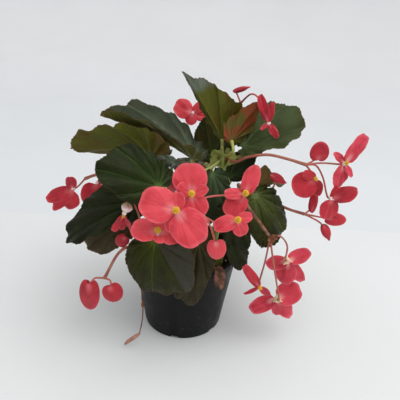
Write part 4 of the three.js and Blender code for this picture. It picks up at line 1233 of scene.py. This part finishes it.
petal_skins = {}
for tone, colours in PETAL_TONES.items():
    petal_skins[tone] = petal_looks(tone, *(paint(*colour) for colour in colours))
stalk_skin = stalk_look("flower_stalk", paint(206, 98, 92), paint(158, 88, 70))
old_stalk_skin = stalk_look("old_flower_stalk", paint(178, 90, 78), paint(84, 52, 32))
pedicel_ends = {}
for name, (centre, face, form, _) in BLOOMS.items():
    face = Vector(face).normalized()
    back = Vector(centre) * MM - face * BLOOM_DEPTH[form]
    pedicel_ends[name] = [back - face * PEDICEL_STRAIGHT, back]
for name, (cane, joint, stem, branches) in SPRAYS.items():
    radius, joints = canes[cane]
    stem = in_metres(stem)
    outward = (stem[0] - joints[joint]).normalized()
    path = smooth_line([joints[joint] + outward * (radius - STALK_INSET) * MM, *stem])
    lines = [(path, stalk_radii(len(path), **PEDUNCLE))]
    buds = []
    for fork, via, end in branches:
        route = [stem[fork], *in_metres(via)]
        if isinstance(end, str):
            route += pedicel_ends[end]
        else:
            foot, tip = in_metres(end[:2])
            route.append(foot.lerp(tip, BUD_ON_STALK))
            buds += bud_petals(*end)
        path = smooth_line(route)
        lines.append((path, stalk_radii(len(path), **PEDICEL)))
    piece = strands("flower_stem_" + name, lines)
    skin = old_stalk_skin if name == "drop" else stalk_skin
    grown(piece, stalks, Sides=STALK_SIDES, Uneven=0.25 * MM, Patch=160.0, Look=skin)
    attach(piece, "root")
    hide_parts("spray_" + name)
    if buds:
        red = name in RED_SPRAYS
        piece = joined("buds_" + name, buds, petal_skins["crimson" if red else "coral"])
        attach(piece, "root")
        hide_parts("spray_" + name)

# The blooms: most have two broad petals and one or two smaller ones, round a small green-pink
# receptacle. A bloom that bears seed has a pale body with three wings behind its petals.
PETAL_START = 0.7 * MM
PETAL_LAYERS = (0.5, 0.0, -0.8, -1.3)
PETAL_THICKNESS = 0.6 * MM
PETAL_ARCH = 14
PETAL_CURL = -6
PETAL_NOTCH = (0.03, 9)
PETAL_SCALLOP = (0.012, 9)
LONG_RUFFLE = (1.2, 5)
SHORT_RUFFLE = (0.5, 13)
PETAL_RIBS = (0.16, 31)
PETAL_CREASE = (0.9, 11)
PETAL_RINGS = [0.1, 0.22, 0.34, 0.46, 0.58, 0.69, 0.79, 0.88, 0.95, 0.985, 1]
PETAL_COLUMNS = 49
PETAL_FULL_LENGTH = 30 * MM
RECEPTACLE_RADIUS = 2.2 * MM
RECEPTACLE_DEPTH = 1.2 * MM
RECEPTACLE_SIDES = 18
RECEPTACLE_TURNS = np.linspace(-math.pi / 2, math.pi / 2, 11)
OVARY_RADIUS = 3.618 * MM
OVARY_BACK = 6.6 * MM
OVARY_HALF = 5.0 * MM
OVARY_SIDES = 48
OVARY_STEPS = np.linspace(0.04, 0.96, 13)
OVARY_ROUNDNESS = 0.6
OVARY_LOOK = 2
WING_COUNT = 3
WING_HEIGHT = 0.6
WING_SHARPNESS = 5
WING_DIFFERENCE = 0.35
WING_START = (0.3, 0.9, 0.2)


def turned_body(centre, axis, profile, sides, wing=0.0):
    """A closed body round an axis, from distances along it and radii, with wings if asked."""
    side = unit(np.cross(axis, WING_START))
    other = np.cross(axis, side)
    turn = np.arange(sides) * 2 * math.pi / sides
    edges = np.maximum(0, np.cos(WING_COUNT * turn)) ** WING_SHARPNESS
    crest = 1 + wing * edges * (1 + WING_DIFFERENCE * np.cos(turn))
    points = [centre + axis * profile[0][0]]
    for along, radius in profile[1:-1]:
        reach = radius * crest
        level = centre + axis * along
        points += list(level + np.outer(reach * np.cos(turn), side) + np.outer(reach * np.sin(turn), other))
    points.append(centre + axis * profile[-1][0])
    rows = len(profile) - 2
    faces = round_faces(rows, sides)
    height = np.concatenate([[0], np.repeat(np.linspace(0, 1, rows), sides), [1]])
    marks = {"ring": height, "blade": np.zeros((len(points), 3))}
    return np.array(points), faces, [OVARY_LOOK] * len(faces), marks


def petal(centre, axis, layer, tip, width, phase):
    """One petal of a bloom, cupped, creased along its middle, and ruffled at its edge."""
    outward = unit(np.array(tip) * MM - centre)
    foot = centre + outward * PETAL_START + axis * PETAL_LAYERS[layer] * MM
    length = np.linalg.norm(np.array(tip) * MM - foot)

    def notched(degrees):
        scallop = around(*PETAL_SCALLOP, degrees, phase[0])
        return petal_reach(degrees) * (1 + scallop - near_middle(*PETAL_NOTCH, degrees))

    def cupped(ring, degrees):
        ruffle = around(*LONG_RUFFLE, degrees, phase[1]) + around(*SHORT_RUFFLE, degrees, phase[2])
        ribs = around(*PETAL_RIBS, degrees, phase[3]) * ring
        crease = near_middle(*PETAL_CREASE, degrees) * np.sin(math.pi * np.clip(ring, 0, 1))
        return (ruffle * ring ** 3 + ribs - crease) * MM * min(1, length / PETAL_FULL_LENGTH)

    middle = blade_surface(
        foot / MM, tip, axis, notched, width=width, arch=PETAL_ARCH, curl=PETAL_CURL, pucker=cupped
    )
    columns = np.linspace(-PETAL_SPAN, PETAL_SPAN, PETAL_COLUMNS)
    thickness = thinning(PETAL_THICKNESS, 0.6, 3)
    return closed_sheet(middle, PETAL_RINGS, columns, thickness, petal_fields(length, width))


def ovary_look():
    """Pale waxy skin, greenish below, with pink patches."""
    look, tree, shader = look_named("ovary_skin", 0.45, Subsurface_Weight=0.2, Subsurface_Scale=3 * MM)
    height = ranged(tree, marked(tree, "ring"), 0.1, 0.8)
    body = blend(tree, height, paint(228, 214, 160), paint(255, 232, 228))
    pink = ranged(tree, grain(tree, 260, 3), 0.45, 0.7)
    covered(tree, shader, blend(tree, pink, body, paint(246, 170, 168)))
    relief(tree, shader, grain(tree, 1400, 2), 0.2 * MM)
    return look


ovary_skin = ovary_look()
knob = []
for t in RECEPTACLE_TURNS:
    knob.append((RECEPTACLE_RADIUS * math.sin(t), RECEPTACLE_RADIUS * math.cos(t)))
ovary = [(-OVARY_HALF, 0)]
for t in OVARY_STEPS:
    ovary.append((OVARY_HALF * (2 * t - 1), OVARY_RADIUS * math.sin(math.pi * t) ** OVARY_ROUNDNESS))
ovary.append((OVARY_HALF, 0))
for seed, (name, (centre, face, form, petals)) in enumerate(BLOOMS.items()):
    draw = np.random.default_rng(100 + seed)
    centre = np.array(centre) * MM
    axis = unit(np.array(face, float))
    parts = []
    for layer, (*tip, width) in enumerate(petals):
        parts.append(petal(centre, axis, layer, tip, width, draw.uniform(0, FULL_TURN, 4)))
    parts.append(turned_body(centre - axis * RECEPTACLE_DEPTH, axis, knob, RECEPTACLE_SIDES))
    if form == "seeded":
        parts.append(turned_body(centre - axis * OVARY_BACK, axis, ovary, OVARY_SIDES, WING_HEIGHT))
    tone = "crimson" if name in RED_BLOOMS else "rose" if name in ROSE_BLOOMS else "coral"
    piece = joined("petals_" + name, parts, [*petal_skins[tone], ovary_skin])
    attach(piece, "root")
    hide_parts("bloom_" + name)

# The stamens: a tight tuft of fine yellow threads, each with a swollen end full of pollen.
# The blooms that bear seed, and a few that are half open, have a smaller tuft.
TUFT_RISE = 3.7 * MM
TUFT_DOME = 2.4 * MM
TUFT_SHARE = {"open": 1.0, "plain": 0.7, "seeded": 0.5}
HALF_OPEN = ("right_long", "drop_side", "right_round")
TUFT_FROM = -0.6 * MM
POLLEN_LENGTH = 0.72 * MM
POLLEN_SLIM = (0.5, 0.5, 1.0)
POLLEN_SIZES = (0.75, 1.3)
THREAD_RADIUS = 0.12 * MM
THREAD_LENGTH = 1.8 * MM
COLUMN_RADIUS = 0.9 * MM
COLUMN_LENGTH = 4.2 * MM
COLUMN_DROP = 2 * MM


def pollen_look():
    """Powdery yellow with darker clefts."""
    look, tree, shader = look_named("pollen", 0.75, Subsurface_Weight=0.1, Subsurface_Scale=MM)
    covered(tree, shader, blend(tree, grain(tree, 700, 3), paint(226, 166, 30), paint(255, 222, 84)))
    relief(tree, shader, grain(tree, 4000, 2), 0.1 * MM)
    return look


pollen = pollen_look()
tuft, given, out = geometry_tree(
    "tuft", Place="Vector", Facing="Vector", Dome="Float", Swell="Float", Seed="Int", Look="Material"
)
here = result(tuft, "GeometryNodeInputPosition")
bead = result(tuft, "GeometryNodeMeshUVSphere", {"Segments": 6, "Rings": 4, "Radius": given["Swell"]})
slim = result(tuft, "GeometryNodeTransform", {0: bead, 3: POLLEN_SLIM})
thread_inputs = {"Vertices": 5, "Radius": THREAD_RADIUS, "Depth": THREAD_LENGTH}
thread = result(tuft, "GeometryNodeMeshCylinder", thread_inputs)
lowered = result(tuft, "GeometryNodeTransform", {0: thread, 1: (0, 0, -THREAD_LENGTH / 2)})
anther = joined_geometry(tuft, slim, lowered)
dome = result(tuft, "GeometryNodeMeshIcoSphere", {"Radius": given["Dome"], "Subdivisions": 3})
height = one_of(tuft, here, "Z")
front_half = result(tuft, "FunctionNodeCompare", {0: height, 1: TUFT_FROM}, operation="GREATER_THAN")
upright = result(tuft, "FunctionNodeAlignRotationToVector", {"Vector": here}, axis="Z")
sizes = {2: POLLEN_SIZES[0], 3: POLLEN_SIZES[1], 8: given["Seed"]}
size = add(tuft, "FunctionNodeRandomValue", sizes, data_type="FLOAT").outputs[1]
copies = {0: dome, 1: front_half, 2: anther, 5: upright, 6: size}
beads = result(tuft, "GeometryNodeInstanceOnPoints", copies)
column_inputs = {"Vertices": 12, "Radius": COLUMN_RADIUS, "Depth": COLUMN_LENGTH}
column = result(tuft, "GeometryNodeMeshCylinder", column_inputs)
foot = result(tuft, "GeometryNodeTransform", {0: column, 1: (0, 0, -COLUMN_DROP)})
facing = result(tuft, "FunctionNodeAlignRotationToVector", {"Vector": given["Facing"]}, axis="Z")
moved = {0: joined_geometry(tuft, beads, foot), 1: given["Place"], 2: facing}
set_out = result(tuft, "GeometryNodeTransform", moved)
finished(tuft, result(tuft, "GeometryNodeSetShadeSmooth", {0: set_out}), given["Look"], out)
for seed, (name, (centre, face, form, _)) in enumerate(BLOOMS.items()):
    if form == "plain" and name not in HALF_OPEN:
        continue
    face = Vector(face).normalized()
    share = TUFT_SHARE[form]
    piece = new_object(("tuft_" if form == "open" else "style_") + name, bpy.data.meshes.new("tuft"))
    grown(
        piece, tuft, Place=tuple(Vector(centre) * MM + face * TUFT_RISE * share), Facing=tuple(face),
        Dome=TUFT_DOME * share, Swell=POLLEN_LENGTH * share, Seed=seed, Look=pollen,
    )
    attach(piece, "root")
    if form == "open":
        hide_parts("stamens_" + name)

# The dry parts: a dead flower stalk that hangs beside the pot, a tan bract fallen on the
# rim, three bracts at a fork, and papery scales that sheathe the joints of the canes. The
# sheath at the top of the tallest cane is still green.
DEAD_LINE = [
    (-0.6, -48.4, 116.4), (-20, -60, 108), (-40, -63, 90), (-41, -61, 70), (-40, -60, 50),
    (-41, -60, 34), (-44, -60, 17),
]
DEAD_KNOT = Vector((-40, -60, 56)) * MM
DEAD_KNOT_REACH = 2.6 * MM
DEAD_RADIUS = 0.6
DEAD_KNOT_SWELL = 1.2
DEAD_SIDES = 12
DEAD_STRIP = dict(
    base=(-43, -60, 18), tip=(-60, -64, 5), up=(0, -0.8, 0.6), width=0.17, arch=14,
    thickness=0.8 * MM, tear=0.2,
)
FALLEN_BRACT = dict(
    base=(37.5, -41.5, 97.2), tip=(39, -60.5, 81), up=(0.4, -0.7, 0.9), width=0.5, arch=55, curl=-75,
)
SCALE_FORM = dict(width=0.75, arch=34, thickness=0.4 * MM, curl=-50)
SCALE_LENGTH = 9
SCALE_VARIETY = (0.8, 0.2, 5)
SCALE_LEAN = 3.2
SCALE_OUT = 0.5
SCALE_DOWN = 1.5
SCALE_TURNS = (0.6, 2.9, 4.6)
SCALE_TURN_STEP = 1.3
FORK_BRACT_FORM = dict(width=0.9, arch=30, thickness=0.5 * MM, curl=-40)
FORK_BRACT_TURNS = (0.3, 1.2, 5.4)
FORK_BRACT_LENGTH = 4
FORK_BRACT_LEAN = 6
FORK_BRACT_OUT = 1.2
FORK_BRACT_DOWN = 1.5
FORK_BRACT_FORWARD = -0.5
STIPULE_FORM = dict(width=1.0, arch=30, thickness=0.6 * MM, curl=-60)
STIPULES = [(-2.3, 19, 4), (-0.7, 14, 5), (0.9, 16, 3), (2.6, 13, 5)]
STIPULE_OUT = 5.2
STIPULE_DOWN = 7
CRUMPLE_LENGTH = 14 * MM
TEARS = ((0.07, 8), (0.05, 13))
DRY_RUFFLE = (0.7, 5)
DRY_CREASES = (0.25, 9)
DRY_CREASE_TURN = 17
DRY_RINGS = np.linspace(0, 1, 9)[1:]
DRY_COLUMNS = 41


def dry_look(name, pale, dark):
    """Dead papery skin with a rough grain and dark specks."""
    look, tree, shader = look_named(name, 0.8, Specular_IOR_Level=0.25)
    body = blend(tree, ranged(tree, grain(tree, 220, 5), 0.35, 0.65), dark, pale)
    specks = ranged(tree, grain(tree, 900, 3), 0.62, 0.7, 0.0, 0.5)
    covered(tree, shader, blend(tree, specks, body, paint(62, 40, 26)))
    relief(tree, shader, grain(tree, 800, 4), 0.5 * MM)
    return look


dry_brown = dry_look("dry_brown", paint(150, 96, 66), paint(88, 54, 36))
dry_tan = dry_look("dry_tan", paint(146, 102, 82), paint(88, 60, 46))
dry_pink = dry_look("dry_pink", paint(206, 158, 138), paint(150, 96, 76))
fresh_sheath = dry_look("fresh_sheath", paint(176, 180, 104), paint(130, 142, 64))


def dry_part(base, tip, up, width, arch, thickness=0.5 * MM, curl=-10, tear=1.0):
    """A thin crumpled strip of dead tissue with a torn edge."""
    length = MM * np.linalg.norm(np.subtract(tip, base))
    size = min(1, length / CRUMPLE_LENGTH)

    def torn(degrees):
        return petal_reach(degrees) * (1 + tear * sum(around(*waves, degrees) for waves in TEARS))

    def crumpled(ring, degrees):
        ruffle = around(*DRY_RUFFLE, degrees) * ring ** 2
        return (ruffle + around(*DRY_CREASES, degrees, ring * DRY_CREASE_TURN)) * MM * size

    middle = blade_surface(base, tip, up, torn, width=width, arch=arch, curl=curl, pucker=crumpled)
    columns = np.linspace(-PETAL_SPAN, PETAL_SPAN, DRY_COLUMNS)
    return closed_sheet(middle, DRY_RINGS, columns, thinning(thickness, 0.6, 1), petal_fields(length, width))


def off_stalk(rise, direction):
    """A direction off a stalk, turned square to the way it grows."""
    return (direction - rise * direction.dot(rise)).normalized()


shortest, more, times_round = SCALE_VARIETY
for name, (radius, joints) in canes.items():
    scales = []
    for i in range(2, len(joints)):
        rise = (joints[i] - joints[i - 1]).normalized()
        count = 2 if i < len(joints) - 1 else 3
        for turn in SCALE_TURNS[:count]:
            turn += i * SCALE_TURN_STEP
            side = off_stalk(rise, Vector((math.cos(turn), math.sin(turn), 0)))
            foot = joints[i] / MM + side * (radius + SCALE_OUT) - rise * SCALE_DOWN
            share = shortest + more * math.sin(times_round * turn)
            tip = foot + rise * SCALE_LENGTH * share + side * SCALE_LEAN
            scales.append(dry_part(foot, tip, -side, **SCALE_FORM))
    piece = joined("scales_" + name, scales, [dry_tan])
    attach(piece, "root")
_, _, stem, branches = SPRAYS["drop"]
fork = Vector(stem[branches[0][0]])
rise = (fork - Vector(stem[branches[0][0] - 1])).normalized()
bracts = []
for turn in FORK_BRACT_TURNS:
    side = off_stalk(rise, Vector((math.cos(turn), FORK_BRACT_FORWARD, math.sin(turn))))
    foot = fork + side * FORK_BRACT_OUT - rise * FORK_BRACT_DOWN
    tip = foot + rise * FORK_BRACT_LENGTH + side * FORK_BRACT_LEAN
    bracts.append(dry_part(foot, tip, -side, **FORK_BRACT_FORM))
piece = joined("fork_bracts", bracts, [dry_brown])
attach(piece, "root")
below, top = (joint / MM for joint in canes["main"][1][-2:])
rise = (top - below).normalized()
sheaths = []
for turn, length, lean in STIPULES:
    side = off_stalk(rise, Vector((math.cos(turn), math.sin(turn), 0)))
    foot = top + side * STIPULE_OUT - rise * STIPULE_DOWN
    sheaths.append(dry_part(foot, foot + rise * length + side * lean, -side, **STIPULE_FORM))
piece = joined("stipules_main", sheaths, [fresh_sheath])
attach(piece, "root")
path = smooth_line(in_metres(DEAD_LINE))
radii = []
for point in path:
    near_knot = math.exp(-((point - DEAD_KNOT).length / DEAD_KNOT_REACH) ** 2)
    radii.append((DEAD_RADIUS + DEAD_KNOT_SWELL * near_knot) * MM)
dead = strands("dead_stalk", [(path, radii)])
grown(dead, stalks, Sides=DEAD_SIDES, Uneven=0.7 * MM, Patch=240.0, Look=dry_brown)
strip = joined("dead_strip", [dry_part(**DEAD_STRIP)], [dry_pink])
bract = joined("fallen_bract", [dry_part(**FALLEN_BRACT)], [dry_tan])
for piece, node in ((dead, "dry_stalk"), (strip, "dry_stalk"), (bract, "dry_bract")):
    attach(piece, "root")
    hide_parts(node)

# The stage: a pale table top that ends some way behind the pot, pale ground beyond it, and
# soft daylight that is brightest overhead and behind, and dimmer towards the front. The ground's
# colour is painted light and shade: a little darker than the table near it, brighter further back.
# A large soft light, as from a window, shines down from the front right.
TABLE_BEHIND = 0.245
STAGE_REACH = 12.0
COVE_START = 1.2
COVE_RADIUS = 3.0
COVE_HEIGHT = 9.0
PAINTED_LIGHT_REACH = 2.4
TABLE_TONE = (238, 239, 238)
NEAR_GROUND_PAINTED_SHADE = (234, 236, 237)
FAR_GROUND_PAINTED_LIGHT = (255, 255, 255)
DAYLIGHT_FROM = (0.3, 0.42, 0.86)
DAYLIGHT_FACING = (-0.7, 0.95)
DAYLIGHT_STRENGTH = (0.16, 1.12)
WINDOW_PLACE = Vector((0.55, -0.5, 1.5))
WINDOW_AIM = Vector((0, 0, 0.12))
WINDOW_SIZE = 1.1
WINDOW_WATTS = 9


def stage_plane(name, profile, near, far):
    """A large plain area with a matt, barely uneven finish, from a side view of its y and z. Where its near
    and far colours differ, the change from one to the other is painted light and shade.
    """
    look, tree, shader = look_named(name, 0.9, Specular_IOR_Level=0.1)
    # Painted light and shade: the colour goes from the near one to the far one further back, standing in for
    # how the ground and backdrop are lit.
    depth = ranged(tree, one_of(tree, own_place(tree), "Y"), 0.0, PAINTED_LIGHT_REACH)
    plain = blend(tree, depth, paint(*near), paint(*far))
    covered(tree, shader, blend(tree, times(tree, grain(tree, 3), 0.2), plain, paint(200, 201, 202)))
    corners = [(side * STAGE_REACH, y, z) for y, z in profile for side in (-1, 1)]
    faces = [(2 * i, 2 * i + 1, 2 * i + 3, 2 * i + 2) for i in range(len(profile) - 1)]
    new_object(name, mesh_of(name, corners, faces, [look]))


ground = [(TABLE_BEHIND, 0)]
for t in np.linspace(0, math.pi / 2, 24):
    ground.append((COVE_START + COVE_RADIUS * math.sin(t), COVE_RADIUS * (1 - math.cos(t))))
ground.append((COVE_START + COVE_RADIUS, COVE_HEIGHT))
stage_plane("table_top", [(-STAGE_REACH, 0), (TABLE_BEHIND, 0)], TABLE_TONE, TABLE_TONE)
stage_plane("ground_beyond", ground, NEAR_GROUND_PAINTED_SHADE, FAR_GROUND_PAINTED_LIGHT)
scene.view_settings.view_transform = "Standard"
scene.world = bpy.data.worlds.new("daylight")
scene.world.use_nodes = True
sky = scene.world.node_tree
background = sky.nodes["Background"]
direction = add(sky, "ShaderNodeTexCoord").outputs["Generated"]
dot = {0: direction, 1: DAYLIGHT_FROM}
toward = add(sky, "ShaderNodeVectorMath", dot, operation="DOT_PRODUCT").outputs["Value"]
background.inputs["Color"].default_value = paint(248, 250, 252)
sky.links.new(ranged(sky, toward, *DAYLIGHT_FACING, *DAYLIGHT_STRENGTH), background.inputs["Strength"])
light = bpy.data.objects.new("window", bpy.data.lights.new("window", "AREA"))
light.data.size = WINDOW_SIZE
light.data.energy = WINDOW_WATTS
light_turn = (WINDOW_AIM - WINDOW_PLACE).to_track_quat("-Z", "Y").to_matrix().to_4x4()
light.matrix_world = Matrix.Translation(WINDOW_PLACE) @ light_turn
scene.collection.objects.link(light)
